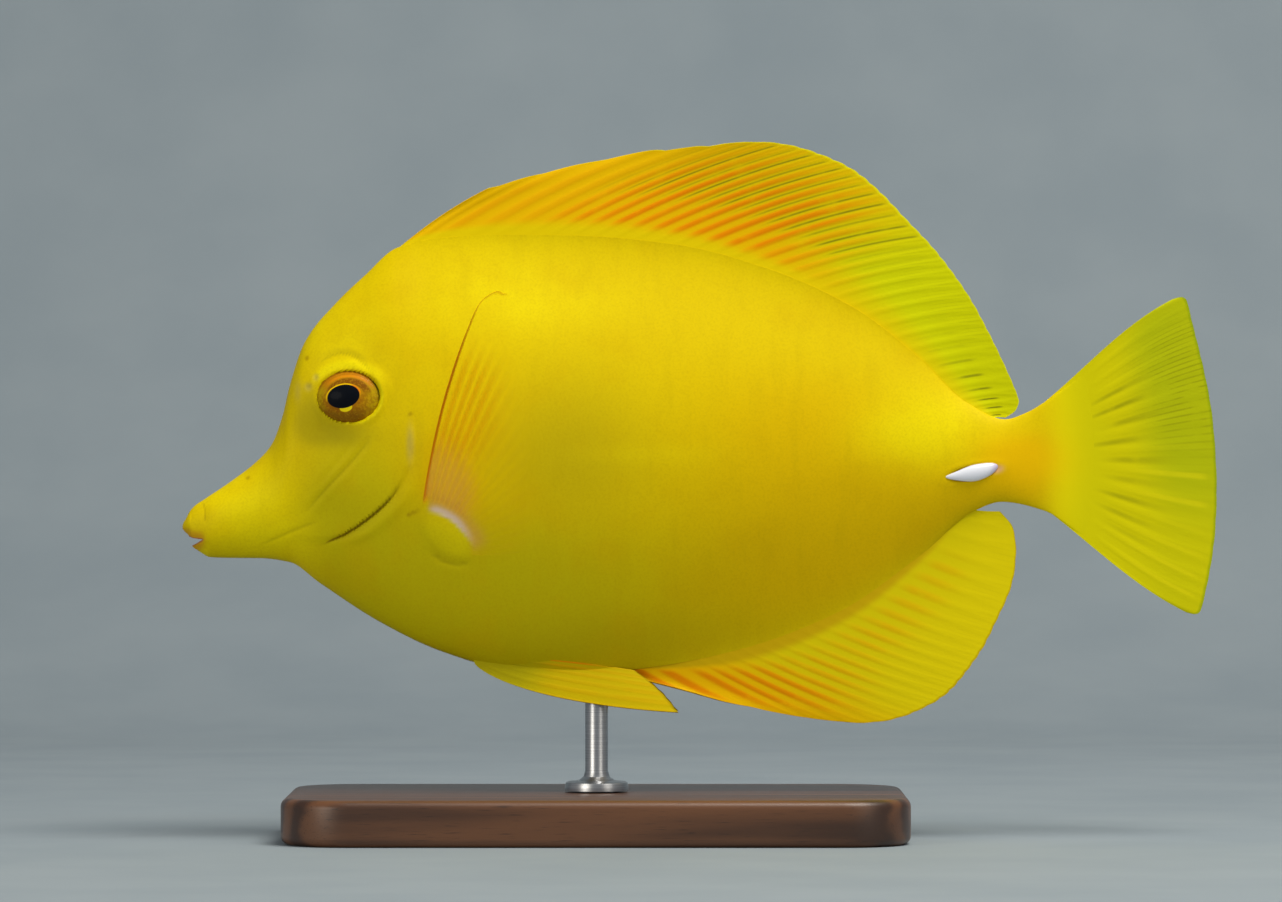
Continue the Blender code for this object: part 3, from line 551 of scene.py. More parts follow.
def make_gape():
    """The cut that opens the mouth."""
    wedge = new_piece(bpy.ops.mesh.primitive_circle_add, "gape", vertices=len(GAPE), radius=MM,
                      fill_type="NGON")
    x, z = np.transpose(GAPE)
    set_positions(wedge, place(x, np.full(len(GAPE), -GAPE_REACH), z))
    activate(wedge)
    bpy.ops.object.mode_set(mode="EDIT")
    bpy.ops.mesh.select_all(action="SELECT")
    bpy.ops.mesh.extrude_region_move(TRANSFORM_OT_translate={"value": (0, 2 * GAPE_REACH * MM, 0)})
    bpy.ops.object.mode_set(mode="OBJECT")
    face_outwards(wedge)
    return wedge


def cut_out(obj, tool):
    """Cuts a tool's shape out of a piece, and deletes the tool."""
    cut = obj.modifiers.new("Cut", "BOOLEAN")
    cut.operation = "DIFFERENCE"
    cut.object = tool
    cut.solver = "MANIFOLD"
    apply_modifiers(obj)
    bpy.data.objects.remove(tool)


def make_skin():
    """One skin from the lips to the root of the tail fin, drawn out of a ball."""
    places = ring_places()
    rings = len(places) - 1
    skin = new_piece(bpy.ops.mesh.primitive_uv_sphere_add, "skin", segments=AROUND, ring_count=rings,
                     radius=1)
    ball = positions(skin)
    ring = np.rint(np.arccos(np.clip(ball[:, 2], -1, 1)) / math.pi * rings).astype(int)
    turn = np.abs(np.arctan2(ball[:, 1], ball[:, 0]))
    side = np.sign(np.round(ball[:, 1], 6))
    # Heights in a ring are partly those of even turns and partly even ones.
    level = 0.65 * np.cos(turn) + 0.35 * (1 - 2 * turn / math.pi)
    x = places[ring]
    top, bottom = back_line(x), belly_line(x)
    pole = (ring == 0) | (ring == rings)
    z = (top + bottom) / 2 + (top - bottom) / 2 * np.where(pole, 0, level)
    width = flank(x, z)
    lift = (head_relief(x, z) + body_relief(x, z)) * (1 - level ** 8)
    ridge = np.isin(np.round(turn, 5), np.round([0, math.pi], 5)) | pole
    set_positions(skin, place(x, np.where(ridge, 0, side * (width + lift)), z))
    smooth_faces(skin)
    cut_out(skin, make_gape())
    smooth_faces(skin)
    paint_skin(skin)
    return skin


def skin_creases(x, z):
    """Where the gill opening gapes, and the painted shade in the creases."""
    slit = between(-14.8, -13.8, -10.5, -2.0, z)
    creases = crease_at(CHEEK_LINE, x, z, 0.25) + crease_at(JAW_LINE, x, z, 0.3)
    creases += 1.5 * crease_at(LOBE_CREASE, x, z, 0.3) + 1.5 * crease_at(BROW_CREASE, x, z, 0.16)
    lip_crease = hump(distance_to(LIP_CREASE[:4], x, z), 0, 0.16) * (x < 6)
    return slit, np.clip(creases, 0, 1), lip_crease


def skin_tints(x, z, level, gill):
    """How greenish and orange the yellow is, and where light and shade are painted on it."""
    # The cheeks are greenish, and the lower front of the body gets painted shade.
    cheek = hump(x, 29, 9) * hump(z, -3, 11) * (1 - 0.5 * ease(-0.2, 0.6, gill))
    breast_shade = ease(-0.05, -0.6, level) * ease(18, 30, x) * (1 - ease(55, 95, x))
    olive = 0.8 * cheek + breast_shade
    orange = ease(65, 118, x) * (1 - ease(146, 156, x)) * between(-1.3, -0.6, 0.1, 0.8, level)
    # Painted highlights on the brow and the eye's rim, and painted light in the eye's socket and on broad
    # patches of the head and the body.
    eye = oval(x, z, EYE_CENTRE, EYE_OPENING)
    up, back = (z - EYE_CENTRE[1]) / EYE_OPENING[1], (x - EYE_CENTRE[0]) / EYE_OPENING[0]
    turn = np.degrees(np.arctan2(up, back))
    brow = hump(eye, 1.27, 0.2) * between(0, 60, 130, 170, turn)
    rim = hump(eye, 1.07, 0.05) * between(-95, -65, 20, 45, turn)
    rim += (eye < 1.03) * (1 - between(-20, 20, 140, 175, turn))
    # The first patch is a real pale band at mid-height. The rest is painted light: a highlight band along
    # the upper back, and patches on the flank, forehead, chin, pectoral base and snout.
    pale = 0.3 * hump(x, 80, 16) * hump(z, 1.0, 2.4) + 0.25 * hump(x, 56, 14) * ease(0.3, 0.7, level)
    pale += 0.35 * hump(z, 27.5, 6.0) * between(38, 50, 62, 95, x) + 0.85 * hump(x, 129, 14) * hump(z, 5, 8)
    pale += 0.5 * hump(x, 27, 8) * hump(z, 22, 7) + 0.25 * hump(x, 20, 6) * hump(z, -14, 5)
    pale += 0.4 * (1 - ease(0.5, 1.1, oval(x, z, LOBE_CENTRE, LOBE_RADII, LOBE_TILT)))
    pale += 0.7 * hump(x, 12, 10) * hump(z, -9, 9)
    painted_light_and_pale_band = 0.7 * brow + rim + pale
    # Painted shade: in front of and under the eye, on the belly, on the flank behind the gill cover and
    # along the back under the dorsal fin.
    shade = hump(x, 22.3, 3.0) * hump(z, 7.6, 4.6) + 0.9 * hump(x, 27.5, 6.0) * hump(z, 4.5, 2.6)
    shade += 0.42 * hump(x, 80, 24) * hump(z, -31, 7)
    shade_under_fin = 0.22 * ease(0.6, 1, level) * between(44, 60, 118, 135, x)
    shade += 0.6 * hump(x, 67, 17) * hump(z, 2, 17) + shade_under_fin
    return [np.clip(tint, 0, 1) for tint in (olive, orange, painted_light_and_pale_band, shade)]


def skin_marks(x, z):
    """The lips, the inside of the mouth, the brown marks and the grey ones."""
    gape = np.abs(distance_to(GAPE[1:-1], x, z))
    lips = (1 - ease(0.1, 2.3, gape)) * (1 - ease(2.8, 5.0, x))
    inside = (1 - ease(0.0, 0.32, gape)) * (x < 4.0)
    brown = sum(hump(np.hypot(x - mx, z - mz), 0, size) for mx, mz, size in BROWN_MARKS)
    grey = sum(hump(np.hypot(x - nx, z - nz), 0, 1.5 * size) for nx, nz, size in NOSTRILS)
    grey += hump(x, 39.9, 0.7) * hump(z, 2.8, 3.4) + 0.6 * hump(x, 20.2, 0.8) * hump(z, 12.0, 2.2)
    return lips, inside, np.clip(brown, 0, 1), np.clip(grey, 0, 1)


def paint_skin(skin):
    """Stores where the skin's colours lie, as places in the fish's side view."""
    x, z = side_view(positions(skin))
    level = level_at(x, z)
    gill = distance_to(GILL_LINE, x, z)
    paint(skin, "lines", gill, *skin_creases(x, z))
    paint(skin, "tints", *skin_tints(x, z, level, gill))
    paint(skin, "marks", *skin_marks(x, z))
    hinge = hump(oval(x, z, HINGE_CENTRE, HINGE_RADII, -TAIL_SPINE_PITCH), 0, 0.8)
    away, along = along_line(PECTORAL_ARC, x, z)
    arc = hump(away, 0.1, np.where(away > 0.1, 0.95, 0.4)) * between(0.0, 0.18, 0.4, 1.0, along)
    paint(skin, "zones", ease(-1, 1, level), hinge, ease(146, 157, x), arc)
    haze = hump(away, 1.0, 1.8) * (away > 0) * between(0, 0.1, 0.75, 1, along)
    amber = hump(x, 145.5, 8.3) * hump(z, 0.0, 5.5)
    # The share of the tail fin's length, which is 6 mm less at its corners. The fin goes by it
    # too, so that both turn olive together.
    along_tail = (x - TAIL_START) / (TOTAL_LENGTH - TAIL_START - 6 * level ** 2)
    paint(skin, "haze", haze, amber, ease(0.04, 0.4, along_tail))


def meet(base, degrees, margin):
    """Where a ray that leaves base at this angle meets the fin's margin."""
    way = np.array([math.cos(math.radians(degrees)), math.sin(math.radians(degrees))])
    best = np.inf
    for a, b in zip(margin, margin[1:]):
        edge = b - a
        cross = way[0] * edge[1] - way[1] * edge[0]
        if abs(cross) < 1e-9:
            continue
        offset = a - base
        along = (offset[0] * edge[1] - offset[1] * edge[0]) / cross
        share = (offset[0] * way[1] - offset[1] * way[0]) / cross
        # A crossing within 0.5 mm is the margin's own end.
        if 0 <= share <= 1 and 0.5 < along < best:
            best = along
    return base + way * best


def bowed(base, tip, bow, lean=1, rows=41):
    """Points from base to tip on a line that bows sideways by bow of its length.

    With a lean of 2 the bow is in the outer half, and with one of 0.5 in the inner half.
    """
    base, tip = np.asarray(base, float), np.asarray(tip, float)
    way = tip - base
    t = np.linspace(0, 1, rows)[:, None]
    swell = t ** lean * (1 - t) * (lean + 1) ** (lean + 1) / lean ** lean
    return base + way * t + np.array([-way[1], way[0]]) * bow * swell


def median_rays(line, starts, sweep, margin, bow):
    """Rays of a fin that stands on the back or the belly, rooted a little inside the body."""
    swept = smooth_line(sweep)
    edge = curve_through(margin)
    rays = []
    for x in starts:
        base = np.array([x, line(x)])
        tip = meet(base, float(swept(x)), edge)
        way = (tip - base) / np.linalg.norm(tip - base)
        rays.append(bowed(base - way * RAY_SINK, tip, bow))
    return np.array(rays)


def on_fin(rays, across, share):
    """Places on the surface that the rays span, at across of the fin and share of each ray."""
    last, rows = len(rays) - 1, rays.shape[1] - 1
    gap = np.clip(np.floor(across * last).astype(int), 0, last - 1)
    past_ray = (across * last - gap)[:, None]
    row = np.clip(np.floor(share * rows).astype(int), 0, rows - 1)
    past_row = (share * rows - row)[:, None]

    def ray(k):
        k = np.clip(k, 0, last)
        return rays[k, row] * (1 - past_row) + rays[k, row + 1] * past_row

    return catmull_rom(ray(gap - 1), ray(gap), ray(gap + 1), ray(gap + 2), past_ray)


def make_fin(name, rays, sideways, tints, root_half=1.0, spines=0, notch=0.006, fork=0.5,
             per_ray=10, rows=46, membrane=0.2, crest=0.32, root_run=0.3, corner=0.0,
             raised_from=-RAY_RISE):
    """A fin as a sheet of membrane with its rays raised on both faces.

    The first spines are unbranched and stand out of the margin, which is notched between the
    rays by notch of their length, and its ends are rounded to the radius corner. Soft rays
    fork at fork of their length. Half the thickness goes from root_half at the foot to
    membrane at root_run of the length, and to crest on the rays, which begin to rise at
    raised_from, or else stand at full height from the foot. Two functions take places u across
    the fin and v along its rays: sideways(points, u, v) gives y, and tints(u, v) gives the
    strengths of the fin's colours: streaks, dark lines, flesh, green and threads.
    """
    last = len(rays) - 1
    sheet = new_piece(bpy.ops.mesh.primitive_grid_add, name, x_subdivisions=last * per_ray,
                      y_subdivisions=rows, size=1)
    flat = positions(sheet)
    across, share = flat[:, 0] + 0.5, flat[:, 1] + 0.5
    count = across * last
    near = np.abs(count - np.rint(count))
    spiny = 1 - ease(spines - 0.6, spines - 0.4, count) if spines else np.zeros(len(count))
    cut = (notch + 0.035 * spiny) * (2 * near) ** 1.5 * share ** 5
    if corner:
        margin = np.linalg.norm(np.diff(rays[:, -1], axis=0), axis=1).sum()
        length = np.linalg.norm(rays[:, -1] - rays[:, 0], axis=1).mean()
        short = np.clip(1 - np.minimum(across, 1 - across) * margin / corner, 0, 1)
        cut += corner * (1 - np.sqrt(1 - short * short)) / length * share ** 3
    points = on_fin(rays, across, share * (1 - cut))
    set_positions(sheet, place(points[:, 0], sideways(points, across, share), points[:, 1]))
    split = 0.2 * ease(fork, 1, share) * (1 - spiny)
    ridge = hump(near, split, 0.15 + 0.05 * spiny) + hump(near, -split, 0.15 + 0.05 * spiny)
    ridge = np.clip(ridge, 0, 1) * (1 - 0.7 * share) * (1 + 0.3 * spiny)
    ridge *= ease(raised_from, raised_from + RAY_RISE, share)
    half = membrane * (1 - 0.35 * share) + (crest - membrane) * ridge
    root = np.clip(1 - share / root_run, 0, 1) ** 2
    half = np.maximum(half, root_half * root + half * (1 - root))
    group = sheet.vertex_groups.new(name="thickness")
    thickest = half.max()
    for index, value in enumerate(half / thickest):
        group.add([index], float(value), "REPLACE")
    *colours, threads = tints(across, share)
    paint(sheet, "tints", *colours)
    paint(sheet, "rays", 2 * near, share, threads)
    solid = sheet.modifiers.new("Thickness", "SOLIDIFY")
    solid.thickness = 2 * thickest * MM
    solid.offset = 0
    solid.vertex_group = "thickness"
    apply_modifiers(sheet)
    sheet.vertex_groups.clear()
    smooth_faces(sheet, 60)
    return sheet


def each_gap(across, gaps, seed, least):
    """A strength for each gap between two rays, the same all along it."""
    values = np.random.default_rng(seed).uniform(least, 1, gaps + 1)
    return values[np.clip(across * gaps, 0, gaps).astype(int)]


def each_ray(across, gaps, seed, least):
    """A strength for each ray, the same all along it."""
    return each_gap(across + 0.5 / gaps, gaps + 1, seed, least)


def closing(first, last, count):
    """Starts of rays that stand closer and closer together."""
    t = np.linspace(0, 1, count)
    return first + (last - first) * (t + 0.35 * t * (1 - t))


def wave(points, v, height, length):
    """A sideways wave along a fin that grows towards its margin."""
    return height * v ** 2 * np.sin(points[:, 0] / length)


def make_dorsal():
    starts = [*DORSAL_SPINES, *closing(*DORSAL_SOFT)]
    rays = median_rays(back_line, starts, DORSAL_SWEEP, DORSAL_MARGIN, DORSAL_BOW)
    gaps = len(rays) - 1

    def sideways(points, u, v):
        return wave(points, v, *DORSAL_WAVE)

    def tints(u, v):
        foot = 0.08 + 0.14 * (1 - ease(0.2, 0.45, u))
        end = 1.25 - 0.95 * ease(0.4, 0.85, u)
        orange = ease(0.0, foot, v) * (1 - ease(0.4 * end, end, v))
        front = 0.4 * ease(0.0, 0.06, u) + 0.6 * ease(0.1, 0.22, u)
        orange *= front * (1 - 0.85 * ease(0.36, 0.66, u)) * (1 - ease(0.74, 0.8, u))
        outer = between(0.08, 0.2, 0.5, 0.66, u) * between(0.3, 0.5, 0.94, 1.0, v)
        dashes = 0.35 * ease(0.66, 0.8, u) * between(0.12, 0.3, 0.6, 0.8, v)
        dashes += 0.8 * between(0.82, 0.88, 0.98, 1.0, u) * between(0.28, 0.45, 0.58, 0.72, v)
        lines = (0.75 * outer + dashes) * each_gap(u, gaps, 4, 0.5)
        threads = 0.3 * between(0.45, 0.6, 0.78, 0.88, u) * between(0.4, 0.7, 0.95, 1.0, v)
        green = 0.6 * ease(0.38, 0.7, u) + 0.45 * ease(0.02, 0.3, u) * ease(0.15, 0.55, v)
        orange *= each_ray(u, gaps, 3, 0.65)
        return orange, np.clip(lines, 0, 1), 1 - ease(0.05, 0.2, v), np.clip(green, 0, 1), threads

    return make_fin("dorsal", rays, sideways, tints, spines=len(DORSAL_SPINES), root_run=0.6)


def make_anal():
    starts = [*ANAL_SPINES, *np.linspace(*ANAL_SOFT)]
    rays = median_rays(belly_line, starts, ANAL_SWEEP, ANAL_MARGIN, ANAL_BOW)
    gaps = len(rays) - 1

    def sideways(points, u, v):
        return wave(points, v, *ANAL_WAVE)

    def tints(u, v):
        reach = 0.75 + 0.35 * (1 - ease(0.1, 0.6, u))
        orange = ease(0.08, 0.3, v) * (1 - ease(0.5 * reach, reach, v)) * (1 - 0.6 * ease(0.16, 0.45, u))
        orange = orange * (1 - ease(0.8, 0.92, u)) + 0.5 * (1 - ease(0.0, 0.14, u)) * ease(0.05, 0.3, v)
        flesh = (1 - ease(0.08, 0.19, v)) * (1 - 0.5 * ease(0.75, 0.95, u))
        green = 0.9 * ease(0.08, 0.4, u)
        threads = 0.2 * ease(0.5, 0.8, v)
        return np.clip(orange, 0, 1) * each_ray(u, gaps, 5, 0.75), 0 * v, flesh, green, threads

    return make_fin("anal", rays, sideways, tints, spines=len(ANAL_SPINES), crest=0.27, root_run=0.7)


def make_tail():
    root = curve_through(TAIL_ROOT_LINE, 24)
    margin = curve_through(TAIL_MARGIN, 12)
    rays = []
    for k in range(TAIL_RAYS):
        share = k / (TAIL_RAYS - 1)
        base, tip = point_at(root, share), point_at(margin, share)
        way = (tip - base) / np.linalg.norm(tip - base)
        rays.append(bowed(base - way * TAIL_SINK, tip, float(np.interp(share, (0, 1), TAIL_BULGE)), 2))

    gaps = TAIL_RAYS - 1

    def sideways(points, u, v):
        return TAIL_SWEEP * np.clip(v - 0.4, 0, 1) ** 2

    def tints(u, v):
        past = v - (0.22 + 0.1 * each_gap(u, gaps, 7, 0) + 0.1 * (1 - between(0.1, 0.3, 0.7, 0.9, u)))
        lines = 0.75 * ease(0, 0.22, past) * (1 - ease(0.22, 0.62, past)) * each_gap(u, gaps, 8, 0.5)
        lines *= between(0.1, 0.3, 0.75, 0.95, u)
        threads = 0.85 * ease(0.45, 0.85, v) * between(0.02, 0.15, 0.35, 0.6, u) * each_gap(u, gaps, 9, 0.4)
        threads = np.clip(threads + 0.15 * ease(0.5, 0.8, v), 0, 1)
        pale = 0.45 * between(0.4, 0.6, 0.92, 1.0, u) * between(0.35, 0.7, 0.9, 1.0, v)
        pale *= each_ray(u, gaps, 10, 0.2)
        green = ease(0.4, 0.85, v) * (0.3 + 0.7 * between(-0.1, 0.1, 0.45, 0.8, u))
        return pale, lines, 1 - ease(0.04, 0.4, v), green, threads

    return make_fin("tail", np.array(rays), sideways, tints, root_half=0.34, fork=0.55, per_ray=14,
                    notch=0.002, membrane=0.26, crest=0.34, root_run=0.1, corner=TAIL_CORNER,
                    raised_from=0.3)


def make_pectoral():
    root = curve_through(PECTORAL_ROOT, 24)
    shares = smooth_line(PECTORAL_SHARES)
    angles = smooth_line(PECTORAL_ANGLES)
    feet, rays = [], []
    for k in range(PECTORAL_RAYS):
        share = k / (PECTORAL_RAYS - 1)
        angle = math.radians(float(angles(share)))
        way = np.array([math.cos(angle), math.sin(angle)])
        foot = point_at(root, share)
        tip = foot + way * PECTORAL_LENGTH * float(shares(share))
        bow = PECTORAL_BOW[0] + (PECTORAL_BOW[1] - PECTORAL_BOW[0]) * share
        rays.append(bowed(foot - way * PECTORAL_SINK, tip, bow))
        feet.append(foot)
    # The rays leave the skin 0.1 mm above it.
    depth = flank(*np.transpose(feet)) + body_relief(*np.transpose(feet)) + 0.1

    def sideways(points, u, v):
        out = v * (PECTORAL_LENGTH * shares(u) + PECTORAL_SINK) - PECTORAL_SINK
        swing = np.radians(PECTORAL_SWING[0] + (PECTORAL_SWING[1] - PECTORAL_SWING[0]) * u)
        rooted = np.interp(u, np.linspace(0, 1, PECTORAL_RAYS), depth)
        return -rooted - np.where(out > 0, out * np.tan(swing), 0.8 * out)

    def tints(u, v):
        front = 1 - 0.9 * ease(0.16, 0.42, u)
        streaks = front * between(0.16, 0.42, 0.5, 0.85, v) + 0.14 * between(0.1, 0.3, 0.6, 0.9, v)
        # The fin widens from 8 to 44 mm. Its leading ray is 0.5 mm wide at its foot, 0.3 at its tip.
        from_edge = u * (8 + 36 * v)
        rise = 0.6 * ease(0.03, 0.08, v) + 0.4 * ease(0.1, 0.4, v)
        leading = (1 - ease(0.1, 0.85 - 0.35 * v, from_edge)) * rise * (1 - 0.35 * ease(0.6, 1, v))
        hook = 0.5 * ease(0.978, 0.99, v) * (1 - ease(0.08, 0.14, u))
        haze = between(0.03, 0.12, 0.14, 0.42, v) * (1 - 0.7 * ease(0.3, 0.7, u))
        return streaks, np.maximum(leading, hook), haze, 0 * v, 0 * v

    return make_fin("pectoral_left", np.array(rays), sideways, tints, root_half=0.5, fork=0.6,
                    membrane=0.1, crest=0.2, notch=0.004, per_ray=12, root_run=0.05,
                    corner=PECTORAL_CORNER)


def make_pelvic():
    start, end = np.array(PELVIC_ROOT)
    rays = []
    for k, tip in enumerate(PELVIC_TIPS):
        share = k / (len(PELVIC_TIPS) - 1)
        base = start + (end - start) * share
        rise = PELVIC_BOWS[0] * (1 - share) ** 2 + PELVIC_BOWS[1] * share ** 2
        rays.append(bowed(base, tip, rise / np.linalg.norm(np.array(tip) - base), PELVIC_LEAN))

    def sideways(points, u, v):
        x, z = points.T
        # Rays that hang below the belly stand out as far as those 1 mm above its line.
        side = flank(x, np.maximum(z, belly_line(x) + 1.0))
        reach = np.clip((x - start[0]) / (PELVIC_TIPS[0][0] - start[0]), 0, 1)
        return PELVIC_SINK - side - (PELVIC_SINK + PELVIC_FLARE * (1 - 0.75 * u)) * reach ** 0.7

    def tints(u, v):
        orange = 0.25 * ease(0.1, 0.4, v) + 0.8 * ease(0.75, 1, u) * between(0.05, 0.2, 0.5, 0.8, v)
        return orange, 0 * v, 1 - ease(0.1, 0.5, v), 1 - 0.5 * ease(0.05, 0.4, v), 0 * v

    return make_fin("pelvic_left", np.array(rays), sideways, tints, root_half=0.45,
                    per_ray=16, notch=0.004, fork=0.4, root_run=0.16, crest=0.26)


def turn_of(yaw=0.0, pitch=0.0, roll=0.0):
    """Yaw about Z, then pitch about Y, then roll about X."""
    return Matrix.Rotation(yaw, 4, "Z") @ Matrix.Rotation(pitch, 4, "Y") @ Matrix.Rotation(roll, 4, "X")


def make_eye():
    """The left eyeball: a lens with its pole at the pupil, where the cornea swells out."""
    eye = new_piece(bpy.ops.mesh.primitive_uv_sphere_add, "eyeball_left", segments=72, ring_count=48,
                    radius=1, rotation=(math.pi / 2, 0, 0))
    bpy.ops.object.transform_apply(rotation=True)
    depth = float(flank(*EYE_CENTRE)) - EYE_SINK
    centre = Vector(place(EYE_CENTRE[0], -depth, EYE_CENTRE[1]))
    ball = positions(eye)
    away = np.hypot(ball[:, 0] + (EYE_CENTRE[0] - PUPIL_CENTRE[0]) / EYE_RADII[0], ball[:, 2])
    ball[:, 1] += np.where(ball[:, 1] < 0, -CORNEA_SWELL * hump(away, 0, CORNEA_SPREAD), 0)
    set_positions(eye, ball)
    size = Matrix.Diagonal([radius * MM for radius in EYE_RADII] + [1])
    eye.data.transform(Matrix.Translation(centre) @ turn_of(yaw=-EYE_YAW, roll=-EYE_ROLL) @ size)
    eye.data.shade_smooth()
    return eye


def make_tail_spine():
    """The left tail spine: a blade that lies in its slot and comes to a point in front."""
    spine = new_piece(bpy.ops.mesh.primitive_uv_sphere_add, "spine_left", segments=40, ring_count=32,
                      radius=1, rotation=(0, math.pi / 2, 0))
    bpy.ops.object.transform_apply(rotation=True)
    ball = positions(spine)
    narrow = 1 - 0.45 * ease(0.2, -1, ball[:, 0])
    ball[:, 1:] *= narrow[:, None]
    ball[:, 2] += 0.25 * ball[:, 0] ** 2 - 0.1
    set_positions(spine, ball)
    x, z = TAIL_SPINE_CENTRE
    centre = Vector(place(x, -float(flank(x, z)), z))
    size = Matrix.Diagonal([radius * MM for radius in TAIL_SPINE_RADII] + [1])
    turn = turn_of(yaw=-TAIL_SPINE_YAW, pitch=TAIL_SPINE_PITCH)
    spine.data.transform(Matrix.Translation(centre) @ turn @ size)
    spine.data.shade_smooth()
    return spine


def make_base():
    """The base, with rounded corners and a soft upper edge."""
    low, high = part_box("stand_base")
    base = new_piece(bpy.ops.mesh.primitive_cube_add, "base", size=1, location=(low + high) / 2,
                     scale=high - low)
    bpy.ops.object.transform_apply(location=True, scale=True)
    select_edges(base, lambda a, b: abs(a.z - b.z) > MM)
    bpy.ops.mesh.bevel(offset=BASE_CORNER * MM, segments=14, affect="EDGES")
    bpy.ops.object.mode_set(mode="OBJECT")
    rounding = base.modifiers.new("Edges", "BEVEL")
    rounding.limit_method = "ANGLE"
    rounding.angle_limit = math.radians(60)
    rounding.width = BASE_EDGE * MM
    rounding.segments = 5
    apply_modifiers(base)
    smooth_faces(base, 35)
    return base


def make_rod():
    """The rod and its foot flange, turned about one axis."""
    low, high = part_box("stand_rod")
    foot, top = low.z, high.z
    flange = (high.x - low.x) / 2 / MM
    # Radii in millimetres, and heights in metres.
    profile = [
        (0, top), (ROD_RADIUS, top), (ROD_RADIUS, foot + 3.4 * MM), (2.3, foot + 2.4 * MM),
        (3.2, foot + 1.75 * MM), (flange - 0.6, foot + 1.6 * MM), (flange - 0.15, foot + 1.4 * MM),
        (flange, foot + 0.9 * MM), (flange, foot), (0, foot),
    ]
    rod = new_piece(bpy.ops.mesh.primitive_circle_add, "rod", vertices=len(profile), radius=MM)
    set_positions(rod, np.array([(r * MM, 0, z) for r, z in profile]))
    bpy.ops.object.mode_set(mode="EDIT")
    bpy.ops.mesh.select_all(action="SELECT")
    bpy.ops.mesh.spin(steps=64, angle=2 * math.pi, center=(0, 0, 0), axis=(0, 0, 1))
    bpy.ops.mesh.select_all(action="SELECT")
    bpy.ops.mesh.remove_doubles(threshold=0.005 * MM)
    bpy.ops.object.mode_set(mode="OBJECT")
    rod.data.transform(Matrix.Translation((SNOUT + ROD_X * MM, 0, 0)))
    smooth_faces(rod, 30)
    return rod


def colour(code):
    """A linear colour from its sRGB hex value."""
    parts = [int(code[k:k + 2], 16) / 255 for k in (1, 3, 5)]
    return (*[c / 12.92 if c <= 0.04045 else ((c + 0.055) / 1.055) ** 2.4 for c in parts], 1)


def add(tree, kind, inputs=None, **settings):
    """Adds a node with its settings. An input is a value or another node's output."""
    made = tree.nodes.new(kind)
    for name, value in settings.items():
        setattr(made, name, value)
    for name, value in (inputs or {}).items():
        if isinstance(value, bpy.types.NodeSocket):
            tree.links.new(value, made.inputs[name])
        else:
            made.inputs[name].default_value = value
    return made


def share_of(tree, strength, *masks):
    """The product of a strength and of masks.

    A mask is a value from 0 to 1, or any value with the places where it gives 0 and 1.
    """
    for mask in masks:
        value, none, full = mask if isinstance(mask, tuple) else (mask, 0, 1)
        part = add(tree, "ShaderNodeMapRange", {0: value, 1: none, 2: full},
                   interpolation_type="SMOOTHSTEP").outputs[0]
        strength = add(tree, "ShaderNodeMath", {0: strength, 1: part}, operation="MULTIPLY").outputs[0]
    return strength


def layered(tree, code, *coats):
    """A colour under coats of others, each given as its colour, its strength and its masks."""
    tone = colour(code)
    for coat, *share in coats:
        inputs = {0: share_of(tree, *share), 6: tone, 7: colour(coat)}
        tone = add(tree, "ShaderNodeMix", inputs, data_type="RGBA").outputs[2]
    return tone


def blotches(tree, where, *size_mm, detail=2.0):
    """Cloudy blotches of this size, or of this length, depth and height."""
    scale = [1 / (size * MM) for size in (size_mm * 3)[:3]]
    fitted = add(tree, "ShaderNodeMapping", {"Vector": where, "Scale": scale}).outputs[0]
    clouds = {"Vector": fitted, "Scale": 1.0, "Detail": detail}
    return add(tree, "ShaderNodeTexNoise", clouds).outputs[0]


def painted(tree, name):
    """The four values that a piece stores at its points under this name."""
    source = add(tree, "ShaderNodeAttribute", attribute_name=name)
    parts = add(tree, "ShaderNodeSeparateColor", {0: source.outputs["Color"]})
    return [*parts.outputs, source.outputs["Alpha"]]


def new_material(name, **values):
    """A material with the values that are the same all over its surface."""
    made = bpy.data.materials.new(name)
    made.use_nodes = True
    tree = made.node_tree
    shader = tree.nodes["Principled BSDF"]
    for socket, value in values.items():
        shader.inputs[socket.replace("_", " ")].default_value = value
    return made, tree, shader, add(tree, "ShaderNodeTexCoord").outputs["Object"]


def dress(tree, shader, tone, height, depth_mm):
    """Gives a surface its colour, and its fine relief from a height."""
    bump = add(tree, "ShaderNodeBump", {"Height": height, "Distance": depth_mm * MM, "Strength": 0.5})
    tree.links.new(tone, shader.inputs["Base Color"])
    tree.links.new(bump.outputs[0], shader.inputs["Normal"])


